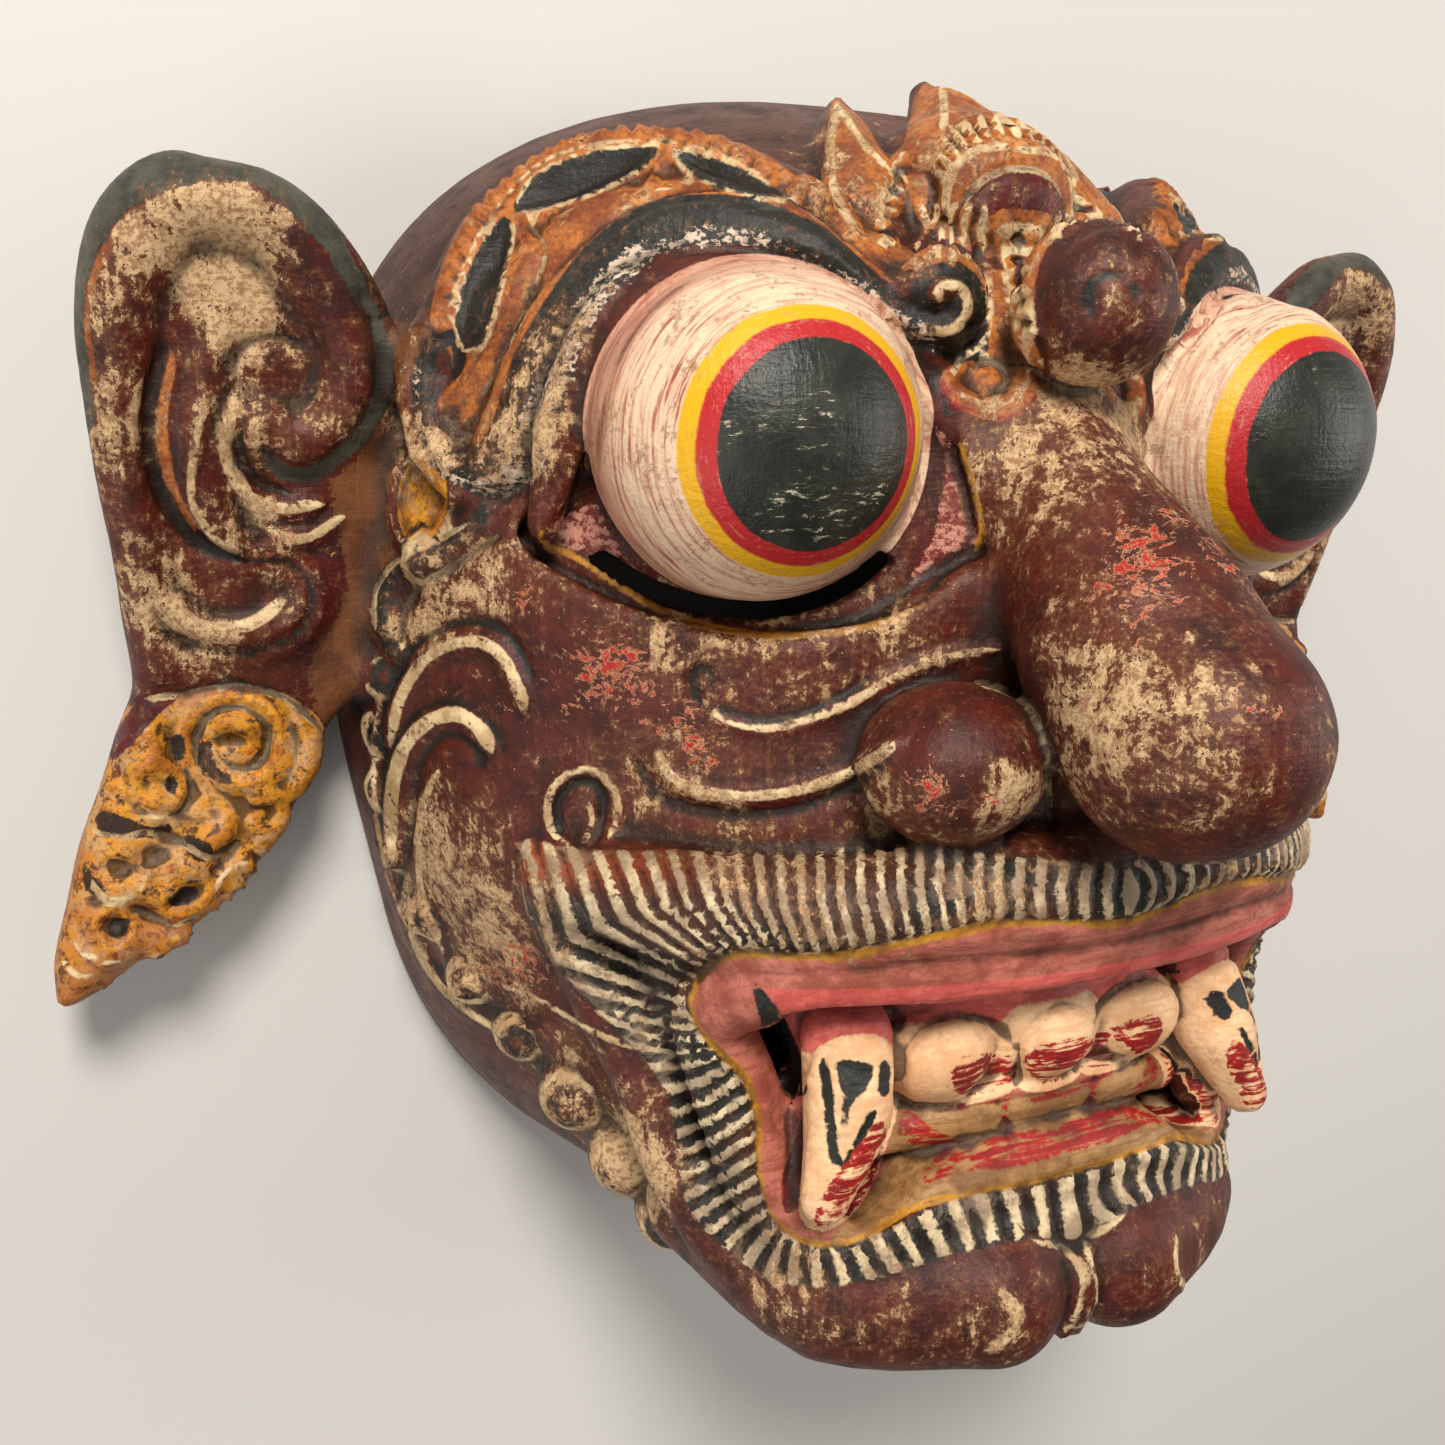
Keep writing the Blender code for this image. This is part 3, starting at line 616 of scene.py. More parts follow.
# Painted areas: paint, how far the area stands out
AREAS = [(paint, points, float(rise)) for (paint, rise), points in listed(f"""
scalp 0: 350,300 400,190 520,95 700,60 830,90 812,205 780,185 720,150 660,134 600,136 545,150 500,190
  458,255 436,325 400,420 380,400
brown 0: 385,330 430,330 412,380 405,450 388,500 392,560 378,620 352,700 335,735 310,700 322,640 345,590
  340,530 330,480 372,440 392,390
orange 0: 437,332 440,300 455,262 475,225 500,190 530,158 570,142 620,134 660,135 710,146 760,168
  805,200 850,238 905,292 870,268 830,232 790,212 745,198 700,195 655,201 615,223 580,253 552,291
  530,326 512,361 500,401 482,442 455,432 438,405 452,360
orange 0: 785,205 812,160 824,122 838,94 862,118 884,150 902,148 914,100 935,74 965,84 995,112 1045,128
  1082,178 1115,176 1156,210 1172,262 1166,300 1140,232 1100,212 1060,232 1037,272 1034,330 1044,380
  1015,414 985,420 952,402 942,372 985,350 984,300 960,262 905,270 870,250 830,225
bright 0: 398,500 404,470 430,455 448,488 440,528 415,546 400,526
black -0.5: {LOW_PANEL}
black -0.5: {MIDDLE_PANEL}
black -0.5: {TOP_PANEL}
black 0: 985,330 955,318 925,311 900,297 870,268 830,232 790,212 745,197 700,194 655,200 615,222 580,252
  552,290 530,325 512,360 500,400 486,434 468,450 446,436 434,405 438,340 424,345 413,380 416,420
  432,464 470,492 505,497 535,475 552,440 565,400 578,356 595,321 620,286 650,257 700,244 750,245
  810,263 860,293 900,332 940,353 985,362
pale 0: 940,344 890,305 850,276 800,248 750,231 700,229 650,241 614,262 586,290 564,325 548,360 530,400
  512,440 490,474 455,478 428,450 418,410 418,370 413,380 416,420 432,464 470,492 505,497 535,475
  552,440 565,400 578,356 595,321 620,286 650,257 700,244 750,245 810,263 860,293 900,332
wine 0.4: 965,206 985,184 1010,172 1050,175 1078,196 1062,218 1012,208 985,218
red 0: 439,366 449,362 452,378 443,386
fleshy 0: 598,505 565,515 547,530 560,545 598,552 620,556 606,525
fleshy 0: 935,425 957,458 972,515 976,545 940,556 905,592 936,530 946,470
lip 0: 1300,870 {LIP_EDGE} 1300,1100
pink 0: 752,992 800,990 860,990 950,985 1050,974 1110,965 1200,942 1260,940 1250,1040 1110,1060 900,1080
  803,1100 800,1090 778,1040
tan 0: 900,1100 950,1102 1000,1098 1110,1082 1205,1058 1245,1110 1205,1143 1110,1163 1060,1177 1000,1191
  930,1202 890,1220 862,1238 830,1244 840,1225 880,1180
tooth 0.4: 903,1075 905,1050 925,1025 965,1018 1000,1030 1015,1060 1015,1088 975,1104 915,1108
tooth 0.4: 1018,1085 1018,1050 1035,1020 1075,1000 1110,1010 1125,1040 1122,1072 1075,1086 1030,1092
tooth 0.4: 803,1075 815,1048 850,1035 885,1038 900,1062 897,1110 882,1160 857,1208 825,1232 800,1214
  806,1150 808,1100
tooth 0.3: 1126,1060 1112,1020 1130,990 1170,976 1230,990 1260,1060 1180,1075
ink -0.4: 838,1062 874,1066 868,1085 850,1106 847,1138 842,1136 843,1100
ink -0.5: 752,986 763,990 786,1022 803,1062 806,1094 784,1088 764,1032
maroon -0.3: 806,1108 812,1096 806,1150 800,1200 786,1215 782,1180 795,1140
red 0: 1030,1052 1110,1032 1118,1062 1040,1082
red 0: 960,1060 1012,1056 1012,1082 960,1096
red 0: 846,1160 882,1120 880,1160 858,1205 820,1228 815,1210
red 0: 980,1140 1045,1130 1065,1150 1020,1166 960,1172 920,1185 945,1150
red 0: 905,1110 930,1125 960,1142 925,1145 900,1138
red 0: 1185,1095 1225,1090 1230,1115 1195,1120
grey 0: 40,430 40,200 150,120 300,140 345,240 375,310 366,318 340,272 310,232 270,193 220,178 170,190
  120,215 92,268 83,330 96,410 90,430
orange 0: 120,218 92,268 83,330 90,390 98,385 90,330 100,272 126,224
wine 0: 302,540 328,535 342,560 338,605 318,622 312,585
gold 0: 140,702 190,690 240,684 292,698 326,728 326,775 305,806 285,850 245,855 240,885 220,905 205,930
  180,950 150,968 110,992 70,1015 40,1000 45,955 66,915 70,860 85,800 110,740
wine 0: 110,745 140,700 185,692 160,712 140,735 115,760
umber -0.4: 198,745 212,740 216,765 235,778 226,786 205,775 196,760
umber -0.4: 100,812 130,818 150,828 175,822 165,834 130,838 108,836 96,826
umber -0.4: 186,836 206,842 214,855 200,862 188,852
umber -0.5: 168,898 186,886 200,892 192,902 176,906
umber -0.4: 168,775 178,782 174,794 166,790
umber -0.4: 84,860 96,880 110,892 100,898 84,884
umber -0.3: 105,925 125,915 130,930 115,938
umber -0.4: 172,738 184,738 184,762 174,756
""")]
# Rows of strands: how many strands come before it, then outer end, middle and inner end
STRANDS = [(*points, float(count)) for (count,), points in listed("""
0: 1320,815 1320,842 1320,868
1.5: 1290,838 1288,860 1290,880
4.5: 1230,860 1230,878 1235,895
10.5: 1110,864 1106,893 1110,921
15.5: 1000,853 997,887 1000,920
20.5: 900,844 901,892 912,939
25.5: 800,850 802,903 818,954
30.5: 700,850 714,905 748,951
32: 660,850 680,906 728,955
33.4: 625,850 648,912 712,960
34.6: 595,850 622,920 702,968
35.6: 570,848 598,928 696,977
36.4: 550,843 577,936 692,987
37.1: 533,838 560,946 690,998
37.8: 519,848 553,964 690,1009
38.5: 524,905 580,988 693,1019
39.3: 548,955 615,1010 698,1029
40.2: 590,1005 646,1032 705,1039
41.3: 625,1040 667,1050 713,1048
42.6: 652,1070 688,1067 722,1057
44: 668,1102 705,1092 736,1072
45.5: 674,1135 713,1119 749,1095
47: 676,1167 717,1149 756,1124
48.6: 685,1200 722,1180 757,1158
50.2: 703,1228 734,1206 762,1190
51.7: 727,1252 749,1228 770,1213
53: 757,1273 769,1250 781,1230
54.4: 790,1286 792,1262 795,1239
55.9: 830,1288 826,1268 822,1247
57.4: 870,1281 861,1262 850,1243
58.8: 905,1270 895,1252 882,1231
61.2: 965,1252 956,1229 944,1202
64.5: 1045,1240 1042,1214 1036,1183
67.3: 1115,1238 1112,1204 1106,1163
70.2: 1180,1212 1178,1184 1172,1151
72.2: 1228,1180 1228,1160 1226,1141
""")]
# Combs of short teeth in the crest: number of teeth, then the outer arc and the inner arc
COMBS = [(points[:len(points) // 2], points[len(points) // 2:], int(count)) for (count,), points in listed("""
12: 930,172 942,140 968,118 1005,110 1045,124 1078,168
  948,190 958,160 982,142 1012,137 1042,150 1070,186
6: 906,248 932,262 962,262 992,248 912,205 938,198 964,204 992,202
9: 1046,228 1076,206 1115,200 1150,228 1056,242 1082,224 1112,220 1142,244
6: 878,250 874,215 884,184 902,166 900,250 896,220 902,196 916,182
6: 1000,222 1006,262 1014,305 1026,345 1018,216 1026,258 1034,300 1042,340
""")]
# Scalloped edges: number of scallops, then the path
SCALLOPS = [(points, int(count)) for (count,), points in listed("""
24: 440,318 452,268 474,222 500,186 532,155 572,139 620,131 662,132 712,143 765,167 805,196
15: 322,800 290,848 262,858 243,890 218,910 200,935 175,952 140,972 100,996
""")]
# A point is on raised work from this far above the skull; higher up the skull is bare between it
RAISED = 0.9
BARE_ABOVE = 68
# How far inside a paint a point is taken to be where the paint is nowhere near
UNPAINTED = -9.0
# Where the paint is most worn: place, reach, amount
WORN = [(110, 420, 60, 0.55), (100, 300, 50, 0.35), (150, 230, 60, 0.5), (230, 210, 60, 0.6),
        (230, 270, 70, 0.35), (1120, 290, 40, 0.3), (235, 320, 60, 0.6), (240, 430, 50, 0.5),
        (290, 600, 40, 0.3), (150, 590, 60, 0.5), (200, 640, 50, 0.5), (320, 400, 60, 0.3),
        (1110, 760, 70, 0.35), (1150, 640, 70, 0.3), (1200, 720, 80, 0.3), (1230, 790, 60, 0.35),
        (1090, 450, 80, 0.5), (1000, 440, 50, 0.5), (1000, 520, 50, 0.4), (640, 780, 50, 0.4),
        (720, 830, 60, 0.35), (880, 800, 50, 0.5), (470, 900, 80, 0.5), (430, 830, 50, 0.5),
        (620, 1130, 50, 0.6), (560, 1060, 40, 0.5), (700, 640, 120, 0.35), (880, 650, 80, 0.4),
        (960, 230, 70, 0.4), (840, 150, 60, 0.4), (420, 440, 50, 0.6), (540, 430, 60, 0.6),
        (560, 330, 50, 0.5), (250, 520, 50, 0.5), (480, 570, 60, 0.6), (1010, 1330, 60, 0.3),
        (1015, 790, 45, 0.45), (930, 740, 60, -0.35), (1085, 700, 60, 0.35), (1060, 620, 50, 0.3),
        (800, 1290, 70, 0.45), (920, 1320, 60, 0.3), (650, 1180, 50, 0.6), (510, 960, 60, 0.4),
        (420, 620, 40, 0.5), (780, 900, 90, 0.3), (1000, 890, 100, 0.3), (1080, 380, 40, 0.4),
        (880, 560, 30, 0.3)]
# Where brighter red shows through
FLAKED = [(610, 665, 50, 0.8), (520, 590, 30, 0.6), (590, 700, 60, 0.2), (935, 790, 40, 0.75),
          (1110, 590, 35, 0.55), (700, 740, 55, 0.7), (1150, 540, 50, 0.75), (1130, 640, 40, 0.5),
          (1270, 720, 45, 0.6), (960, 590, 40, 0.3), (1180, 600, 40, 0.4), (520, 960, 50, 0.7),
          (770, 1200, 60, 0.2), (1010, 790, 40, 0.5), (480, 700, 50, 0.3), (280, 540, 50, 0.5)]


class Drawing:
    """The drawing, laid on points of the surface."""

    def __init__(self, point, normal, mirrored=True):
        left = point.copy()
        turned = normal.copy()
        if mirrored:
            left[:, 0] = -np.abs(left[:, 0])
            turned[:, 0] *= np.where(point[:, 0] > 0, -1, 1)
        ray = left - EYE_POINT
        depth = -(ray @ BACK)
        self.x = FRAME / 2 + FOCAL * (ray @ RIGHT) / depth
        self.y = FRAME / 2 - FOCAL * (ray @ UP) / depth
        self.scale = FOCAL / depth
        self.facing = -(turned * ray).sum(1) / np.linalg.norm(ray, axis=1)
        self.front = (self.facing > 0.02) & (left[:, 2] > 4)

    def near(self, points, room):
        P = np.asarray(points, float)
        m = self.front & (self.x > P[:, 0].min() - room) & (self.x < P[:, 0].max() + room)
        return np.flatnonzero(m & (self.y > P[:, 1].min() - room) & (self.y < P[:, 1].max() + room))

    def flat(self, m):
        return np.stack([self.x[m], self.y[m]], 1)

    def line(self, points, room=40):
        m = self.near(points, room)
        d, share = to_line(self.flat(m), through(points))
        return m, d / self.scale[m], share

    def area(self, points, room=40):
        m = self.near(points, room)
        return m, -outline(self.x[m], self.y[m], through(points, True, 4)) / self.scale[m]

    def strands(self):
        """How far inside the moustache and beard, the count of strands up to there, and the share
        of the way from the inner to the outer edge."""
        rails = [through([s[k] for s in STRANDS]) for k in range(3)]
        counts = [s[3] for s in STRANDS]
        number = np.interp(np.linspace(0, 1, len(rails[0])), np.linspace(0, 1, len(counts)), counts)
        m = self.near(np.vstack(rails), 20)
        at = self.flat(m)
        count = np.zeros(len(m))
        share = np.full(len(m), 0.5)
        for outer, inner, start in ((rails[0], rails[1], 0.5), (rails[1], rails[2], 0.0)):
            for i in range(len(number) - 1):
                corner = (outer[i], outer[i + 1], inner[i + 1], inner[i])
                low = np.min(corner, 0) - 1
                high = np.max(corner, 0) + 1
                k = np.flatnonzero(((at > low) & (at < high)).all(1))
                if not len(k):
                    continue
                first, last = (from_edge(at[k], inner[j], outer[j]) for j in (i, i + 1))
                low_edge, high_edge = (from_edge(at[k], e[i], e[i + 1]) for e in (inner, outer))
                across = first / (first - last + 1e-9)
                up = low_edge / (low_edge - high_edge + 1e-9)
                within = (across > -0.02) & (across < 1.02) & (up > -0.1) & (up < 1.1)
                k = k[within]
                count[k] = number[i] + (number[i + 1] - number[i]) * across[within]
                share[k] = start + 0.5 * up[within]
        ring = np.vstack([rails[0], rails[2][::-1]])
        within = -outline(at[:, 0], at[:, 1], ring) / self.scale[m]
        return m, within, count, share

    def comb(self, outer, inner, number):
        m = self.near(np.vstack([outer, inner]), 15)
        at = self.flat(m)
        d_out, s_out = to_line(at, through(outer))
        d_in, s_in = to_line(at, through(inner))
        t = d_in / (d_in + d_out + 1e-6)
        ring = np.vstack([through(outer), through(inner)[::-1]])
        within = -outline(at[:, 0], at[:, 1], ring) / self.scale[m]
        return m, within, (s_in * (1 - t) + s_out * t) * number


def from_edge(p, a, b):
    """Distance from the line through a and b, with a sign for its side."""
    along = b - a
    return ((p[:, 0] - a[0]) * along[1] - (p[:, 1] - a[1]) * along[0]) / (np.hypot(*along) + 1e-9)


def bump(u):
    return np.clip(1 - u * u, 0, 1) ** 1.5


def ease(u):
    u = np.clip(u, 0, 1)
    return u * u * (3 - 2 * u)


def relief(point, normal):
    """How far each point of the surface moves out, in sculpt units."""
    view = Drawing(point, normal)
    height = np.zeros(len(point))
    for seen, lines in ((view, LINES), (Drawing(point, normal, False), SINGLE)):
        for points, width, rise, paint, spread in lines:
            m, d, share = seen.line(points, 12 + width * 3)
            taper = ease(np.minimum(share, 1 - share) * 8 + 0.35)
            height[m] += rise * bump(d / (width * 0.75 * taper + 0.2))
    for paint, points, rise in AREAS:
        if rise:
            m, inside = view.area(points, 12)
            height[m] += rise * ease(inside / 1.2 + 0.3)
    m, inside, count, t = view.strands()
    height[m] += ease(inside / 1.0) * (1.2 * np.abs(np.sin(np.pi * count)) - 0.45)
    for outer, inner, number in COMBS:
        m, inside, count = view.comb(outer, inner, number)
        height[m] += ease(inside / 0.8) * (np.abs(np.sin(np.pi * count)) * 1.5 - 0.6)
    raised = skull(point) > RAISED
    for points, number in SCALLOPS:
        m, d, share = view.line(points, 24)
        scallop = 1.3 * (np.abs(np.sin(np.pi * share * number)) - 0.3) * bump(d / 2.4)
        height[m] += (raised[m] | (point[m, 1] < 20)) * scallop
    # knife marks and hand-cut unevenness all over
    x, y, z = point.T
    uneven = np.sin(x * 0.31 + 2 * np.sin(y * 0.13)) * np.sin(y * 0.27 + 1.7 * np.sin(z * 0.17))
    uneven *= np.sin(z * 0.29 + x * 0.07)
    uneven *= 0.12
    out = np.where(view.front, (height + uneven) * ease(view.facing * 5), uneven)
    return np.where(point[:, 2] < 3, 0, out)


def paints(point, normal):
    """How far inside each paint every point lies, in sculpt units, and a few guides for wear."""
    view = Drawing(point, normal)
    count = len(point)
    layer = {name: np.full(count, UNPAINTED) for name in TONES}

    def lay(name, m, value):
        layer[name][m] = np.maximum(layer[name][m], value)

    for name, points, rise in AREAS:
        m, inside = view.area(points)
        lay(name, m, inside)
    true = Drawing(point, normal, False)
    for seen, lines in ((view, LINES), (true, SINGLE)):
        for points, width, rise, name, spread in lines:
            if name:
                m, d, share = seen.line(points, 24)
                lay(name, m, spread / 2 * ease(np.minimum(share, 1 - share) * 8 + 0.35) - d)
    left = point.copy()
    left[:, 0] = -np.abs(left[:, 0])
    away = left * [-1, 1, 1]
    # teeth below the gum, all round
    for d, top in ((egg(away, *FRONT_TOOTH), -57), (egg(away, *SIDE_TOOTH), -58.5),
                   (tube(away, FANG, FANG_RADII), -61)):
        tooth = np.minimum(0.9 - d, (top - point[:, 1]) * 0.6)
        layer["tooth"] = np.maximum(layer["tooth"], np.clip(tooth, -9, 3))
    # rings on the row of hair curls
    for x, y, z, r in SIDE_CURLS:
        d = np.linalg.norm(away - [x, y, z], axis=1)
        side = np.abs((away - [x, y, z]) @ [0.55, -0.1, 0.83])
        m = np.flatnonzero((d < r * 1.15) & (left[:, 2] > 3))
        around = np.sqrt(np.maximum(d[m] ** 2 - side[m] ** 2, 0)) / r
        lay("black", m, 0.5 * r * (0.2 - np.abs(around - 0.42)))
        lay("black", m, 0.5 * r * (0.1 - np.abs(around - 0.98)))
        lay("cream", m, 0.5 * r * (0.13 - np.abs(around - 0.72)))
    # pendant
    low = (away[:, 0] > 108) & (away[:, 1] < -4) & (left[:, 2] > 2) & view.front
    x, y = away[low, 0], away[low, 1]
    lay("gold", low, np.clip(-9 - y + 0.02 * x, -9, 9) - np.clip(118 - x, 0, 9))
    # moustache and beard
    guide = {"band": np.full(count, UNPAINTED), "strand": np.zeros(count), "rust": np.zeros(count)}
    m, inside, number, t = view.strands()
    guide["band"][m] = inside
    guide["strand"][m] = np.abs(np.sin(np.pi * number))
    guide["rust"][m] = ease((760 - view.x[m]) / 120) * ease((905 - view.y[m]) / 40)
    for outer, inner, number in COMBS:
        m, inside, teeth = view.comb(outer, inner, number)
        lay("cream", m, np.minimum(inside, (np.abs(np.sin(np.pi * teeth)) - 0.72) * 3))
    for points, number in SCALLOPS:
        m, d, share = view.line(points, 24)
        lay("orange", m, 1.8 - d)
    # the bare skull above the brows stays plain where the plate and the crest hide it
    rise = skull(point)
    bare = away[:, 1] > BARE_ABOVE
    for name in ("orange", "deep", "bright", "black", "cream", "wine", "pale", "red"):
        layer[name][bare] = np.minimum(layer[name][bare], (rise[bare] - RAISED) * 2)
    # eyeballs
    out = away - EYE_CENTRE
    radius = np.linalg.norm(out, axis=1)
    guide["eye"] = np.degrees(np.arccos(np.clip(out @ EYE_AXIS / np.maximum(radius, 1e-6), -1, 1)))
    guide["eye"] *= np.where(point[:, 0] > 0, 0.92, 1.0)
    guide["round"] = np.degrees(np.arctan2(out[:, 1], out[:, 0]))
    # the lid's edge, where it lies on the eyeball, is painted with it
    near = 0.9 + 1.5 * ease((82 - guide["eye"]) / 8)
    guide["ball"] = np.where(left[:, 2] > BALL_LOWEST, np.clip(near - np.abs(radius - EYE_RADIUS), -2, 2), -2)
    # wear, brighter flakes, and how plain the wood is behind
    def spots(listed, base):
        total = np.full(count, base)
        for x, y, reach, amount in listed:
            here = np.exp(-((true.x - x) ** 2 + (true.y - y) ** 2) / reach ** 2) * ease(true.facing * 4)
            there = 0.8 * np.exp(-((view.x - x) ** 2 + (view.y - y) ** 2) / reach ** 2)
            total += amount * np.where(point[:, 0] < 0, here, np.maximum(here, there))
        return np.clip(total, 0, 1)

    guide["wear"] = spots(WORN, 0.2)
    guide["flake"] = spots(FLAKED, 0.0)
    inner = np.abs(rise + WALL / UNIT) < 1.2
    r = EYE_RADIUS - BALL_WALL / UNIT
    inner |= (radius < r + 1.2) & (normal[:, 2] < 0)
    inner |= point[:, 2] < 0.6
    guide["plain"] = inner.astype(float)
    return layer, guide


def bend_of(point, face, normal):
    """Ridges above nought and hollows below, from how each point lies among its neighbours."""
    pairs = np.vstack([face[:, [0, 1]], face[:, [1, 2]], face[:, [2, 0]]])
    total = np.zeros_like(point)
    number = np.zeros(len(point))
    for a, b in ((0, 1), (1, 0)):
        np.add.at(total, pairs[:, a], point[pairs[:, b]])
        np.add.at(number, pairs[:, a], 1)
    step = point - total / np.maximum(number, 1)[:, None]
    bend = (step * normal).sum(1)
    for turn in range(2):
        mean = np.zeros(len(point))
        for a, b in ((0, 1), (1, 0)):
            np.add.at(mean, pairs[:, a], bend[pairs[:, b]])
        bend = 0.5 * bend + 0.5 * mean / np.maximum(number, 1)
    return bend


def normals_of(point, face):
    normal = np.zeros_like(point)
    for i in range(1, face.shape[1] - 1):
        a, b, c = (point[face[:, k]] for k in (0, i, i + 1))
        n = np.cross(b - a, c - a)
        for k in (0, i, i + 1):
            np.add.at(normal, face[:, k], n)
    return normal / np.maximum(np.linalg.norm(normal, axis=1), 1e-12)[:, None]


def new_mesh(name, point, face):
    mesh = bpy.data.meshes.new(name)
    mesh.from_pydata(point.tolist(), [], face.tolist())
    mesh.update()
    return mesh


def arrays_of(mesh):
    point = np.empty(len(mesh.vertices) * 3)
    mesh.vertices.foreach_get("co", point)
    mesh.calc_loop_triangles()
    face = np.empty(len(mesh.loop_triangles) * 3, int)
    mesh.loop_triangles.foreach_get("vertices", face)
    return point.reshape(-1, 3), face.reshape(-1, 3)


# Build the carved piece
def carve():
    point, face = nets((-168, -136, -6), (168, 124, 166), CELL)
    normal = normals_of(point, face)
    point += normal * relief(point, normal)[:, None]
    mesh = new_mesh("carving", point, face)
    body = bpy.data.objects.new("carving", mesh)
    bpy.context.scene.collection.objects.link(body)
    # the hollow and the back of the ears keep fewer triangles
    plain = (np.abs(skull(point) + WALL / UNIT) < 1.5) | (normal[:, 2] < -0.4)
    group = body.vertex_groups.new(name="plain")
    group.add(np.flatnonzero(plain).tolist(), 1.0, "REPLACE")
    group.add(np.flatnonzero(~plain).tolist(), FRONT_SHARE, "REPLACE")
    thin = body.modifiers.new("thin", "DECIMATE")
    thin.vertex_group = "plain"
    thin.vertex_group_factor = 1.0
    mesh.calc_loop_triangles()
    thin.ratio = TRIANGLES / len(mesh.loop_triangles)
    graph = bpy.context.evaluated_depsgraph_get()
    done = bpy.data.meshes.new_from_object(body.evaluated_get(graph))
    point, face = arrays_of(done)
    bpy.data.objects.remove(body)
    bpy.data.meshes.remove(mesh)
    bpy.data.meshes.remove(done)
    return point, face


def settle(point, face):
    """The finished mesh in metres, inside the solid's box, with its guides as attributes."""
    normal = normals_of(point, face)
    layer, guide = paints(point, normal)
    guide["bend"] = bend_of(point, face, normal)
    out = point - EYE_CENTRE * np.where(point[:, :1] < 0, [[-1, 1, 1]], [[1, 1, 1]])
    radius = np.maximum(np.linalg.norm(out, axis=1), 1e-9)
    out /= radius[:, None]
    on_ball = (np.abs(radius - EYE_RADIUS) < 0.5) & (point[:, 2] > BALL_LOWEST)
    on_ball &= (out * normal).sum(1) > 0.97
    smooth = np.where(on_ball[:, None], out, normal)
    placed = (point - [0, MIDDLE_Y, 0]) * UNIT
    placed = np.clip(placed, np.array(CAD_BOX[0]), np.array(CAD_BOX[1]))
    mesh = new_mesh("rakshasa_mask", placed, face)
    # three paints or guides share one attribute, which renders faster than one each
    given = {**layer, **guide}
    for k in range(0, len(STORED), 3):
        parts = [given[name] for name in STORED[k:k + 3]]
        shared = mesh.attributes.new(f"paint_{k // 3}", "FLOAT_VECTOR", "POINT")
        shared.data.foreach_set("vector", np.stack(parts, 1).astype(np.float32).ravel())
    mesh.shade_smooth()
    mesh.normals_split_custom_set_from_vertices(smooth.tolist())
    body = bpy.data.objects.new("rakshasa_mask", mesh)
    bpy.context.scene.collection.objects.link(body)
    return body


# Materials
class Number:
    """A node's number, which adds, subtracts and multiplies by way of further nodes."""

    def __init__(self, nodes, socket):
        self.nodes = nodes
        self.socket = socket

    def __add__(self, other):
        return self.nodes.math("ADD", self, other)

    def __radd__(self, other):
        return self.nodes.math("ADD", other, self)

    def __sub__(self, other):
        return self.nodes.math("SUBTRACT", self, other)

    def __rsub__(self, other):
        return self.nodes.math("SUBTRACT", other, self)

    def __mul__(self, other):
        return self.nodes.math("MULTIPLY", self, other)


class Nodes:
    """Short names for building a material's nodes."""

    def __init__(self, name):
        self.material = bpy.data.materials.new(name)
        self.material.use_nodes = True
        self.tree = self.material.node_tree
        self.shader = self.tree.nodes["Principled BSDF"]
        self.place = self.tree.nodes.new("ShaderNodeTexCoord").outputs["Object"]
        self.parts = {}

    def put(self, socket, value):
        if isinstance(value, Number):
            value = value.socket
        if isinstance(value, bpy.types.NodeSocket):
            self.tree.links.new(value, socket)
        else:
            socket.default_value = value

    def node(self, kind, **values):
        """A new node, with values for its sockets."""
        node = self.tree.nodes.new("ShaderNode" + kind)
        for name, value in values.items():
            self.put(node.inputs[name.replace("_", " ")], value)
        return node

    def stored(self, name):
        """One of the paints or guides that the mesh carries."""
        k = STORED.index(name)
        shared = f"paint_{k // 3}"
        if shared not in self.parts:
            node = self.node("Attribute")
            node.attribute_name = shared
            self.parts[shared] = self.node("SeparateXYZ", Vector=node.outputs["Vector"])
        return Number(self, self.parts[shared].outputs[k % 3])

    def math(self, kind, a, b):
        node = self.node("Math")
        node.operation = kind
        self.put(node.inputs[0], a)
        self.put(node.inputs[1], b)
        return Number(self, node.outputs[0])

    def step(self, value, low, high):
        """From 0 at low to 1 at high."""
        node = self.node("MapRange", Value=value, From_Min=low, From_Max=high)
        node.interpolation_type = "SMOOTHSTEP"
        return Number(self, node.outputs["Result"])

    def noise(self, size, detail=4.0, rough=0.6, skew=0.0, turn=(0, 0, 0)):
        """Cloudy noise about 0.5, its lumps of that size in millimetres."""
        if not isinstance(size, tuple):
            size = (size, size, size)
        place = self.node("Mapping", Vector=self.place, Rotation=turn, Scale=[1000 / s for s in size])
        return self.clouds(place.outputs["Vector"], detail, rough, skew)

    def clouds(self, place, detail, rough, skew, dimensions="3D"):
        node = self.node("TexNoise", Vector=place, Scale=1.0, Detail=detail, Roughness=rough, Distortion=skew)
        node.noise_dimensions = dimensions
        return Number(self, node.outputs["Fac"])

    def mix(self, share, a, b):
        node = self.node("Mix")
        node.data_type = "RGBA"
        self.put(node.inputs["Factor"], share)
        self.put(node.inputs["A"], a)
        self.put(node.inputs["B"], b)
        return node.outputs["Result"]

    def between(self, share, a, b):
        return (1.0 - share) * a + share * b


def colour(r, g, b):
    """Linear colour from values of 0 to 255 as seen on a screen."""
    seen = (r / 255, g / 255, b / 255)
    linear = [c / 12.92 if c <= 0.04045 else ((c + 0.055) / 1.055) ** 2.4 for c in seen]
    return (*linear, 1.0)


